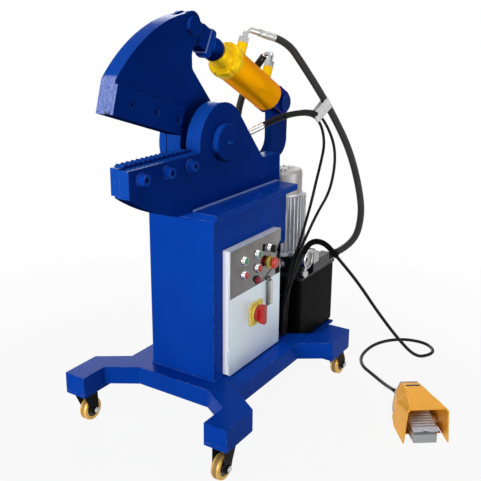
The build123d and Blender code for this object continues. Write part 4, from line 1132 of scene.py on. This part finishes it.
back = np.array([(48, 2), (49, 24), (44, 73), (28, 106), (-28, 106), (-44, 73), (-49, 24), (-48, 2)], float)
back_rows = drawn_in(back, (0, 54), [(0.9, 187), (1, 188), (1, 192.5), (0.94, 194), (0, 194)])
piece("foot_back", [at_foot(skin(back_rows))], base_grey, "frame", smooth=30)
slot_bar = at_foot(pillow_block((-23, 148, 112), (22, 156, 114.6), 1))
piece("hood_slot", [slot_bar], switch_black, "frame")
# The pan and skirts are partly the switch's base and partly sheets over the floor under the hood, standing
# in for the shade there.
pan = at_foot(pillow_block((-65, 52, 0.6), (65, 112, 3.2), 1))
skirt, skirt_quads = wall_along([(66.4, 88), (66.2, 96), (65.2, 122), (52, 146)], 2.0, 0.6, 27.0)
skirts = [at_foot((skirt * (side, 1, 1), skirt_quads)) for side in (1, -1)]
piece("foot_pan_shade_cover", [pan, *skirts], hood_orange, "frame")
relief = [
    (0, 0),
    (8.8, 0),
    (8.8, 5),
    (7.6, 7),
    (8.2, 10),
    (7.2, 14),
    (7.8, 18),
    (6.8, 23),
    (7.2, 27),
    (6.6, 33),
    (6.8, 37),
    (6.3, 43),
    (6.2, 46),
    (0, 46),
]
lead_end = foot_path[-1] * 1000
lead_back = unit(foot_path[-4] - foot_path[-1])
relief_shape = turned(relief, lead_end, lead_back, 32)
strain_relief = piece("foot_strain_relief", [relief_shape], tank_black, "frame")


# Camera, light and floor

scene = bpy.context.scene
scene.view_settings.view_transform = "Standard"
camera = bpy.data.objects.new("camera", bpy.data.cameras.new("camera"))
scene.collection.objects.link(camera)
camera.location = (-1.8356, -1.2526, 1.2577)
camera.rotation_euler = (math.radians(90 - 16.2227), 0, math.radians(-56.2946))
camera.data.sensor_width = 36
camera.data.lens = 54.74
camera.data.shift_x = 0.0352
camera.data.shift_y = -0.0332
scene.camera = camera


def lamp(name, at, aim, size, power):
    """Square soft box at a place, turned towards its aim."""
    data = bpy.data.lights.new(name, "AREA")
    data.energy = power
    data.size = size
    thing = bpy.data.objects.new(name, data)
    thing.location = at
    toward = Vector(aim) - Vector(at)
    thing.rotation_euler = toward.to_track_quat("-Z", "Y").to_euler()
    scene.collection.objects.link(thing)


lamp("key", (-3.7, 0.1, 1.1), (0, 0, 0.6), 1.8, 85)
lamp("key_high", (-4.0, -0.3, 2.2), (0, 0, 0.7), 2.2, 25)
lamp("top", (0.2, -0.4, 4.2), (0, 0, 0.5), 2.6, 46)
lamp("side", (0.55, -2.4, 0.35), (0.2, 0, 0.9), 1.3, 20)
lamp("back", (2.8, 2.6, 2.2), (0, 0, 0.7), 2.2, 90)


def seen_directly(tree):
    """1 for rays that come straight, mirrored or through glass from the camera, 0 for light on things."""
    path = put(tree, "LightPath")
    seen = path.outputs["Is Camera Ray"]
    for kind in ("Is Glossy Ray", "Is Transmission Ray"):
        seen = put(tree, "Math", {0: seen, 1: path.outputs[kind]}, operation="MAXIMUM").outputs[0]
    return seen


world = bpy.data.worlds.new("studio")
world.use_nodes = True
scene.world = world
sky = world.node_tree.nodes["Background"]
sky.inputs["Color"].default_value = (1, 1, 1, 1)
sky_light = ramp(world.node_tree, seen_directly(world.node_tree), 0, 1, 0.05, 1.0)
world.node_tree.links.new(sky_light, sky.inputs["Strength"])

FLOOR_HALF = 12.0
floor_corners = [(x * FLOOR_HALF, y * FLOOR_HALF, 0) for x, y in [(-1, -1), (1, -1), (1, 1), (-1, 1)]]
floor_mesh = bpy.data.meshes.new("floor")
floor_mesh.from_pydata(floor_corners, [], [(0, 1, 2, 3)])
floor = bpy.data.objects.new("floor", floor_mesh)
scene.collection.objects.link(floor)
floor_mat = bpy.data.materials.new("floor")
floor_mat.use_nodes = True
tree = floor_mat.node_tree
paper = tree.nodes["Principled BSDF"]
paper.inputs["Base Color"].default_value = (0.5, 0.5, 0.5, 1)
paper.inputs["Roughness"].default_value = 0.9
paper.inputs["Specular IOR Level"].default_value = 0.1
glow = put(tree, "Emission", {"Color": (1, 1, 1, 1), "Strength": 1.0})
reach = length_of(tree, put(tree, "TexCoord").outputs["Object"])
share = times(tree, seen_directly(tree), ramp(tree, reach, 0.7, 2.0, 0.91, 1.0))
mixed = put(tree, "MixShader", {0: share, 1: paper.outputs[0], 2: glow.outputs[0]})
tree.links.new(mixed.outputs[0], tree.nodes["Material Output"].inputs["Surface"])
floor_mesh.materials.append(floor_mat)
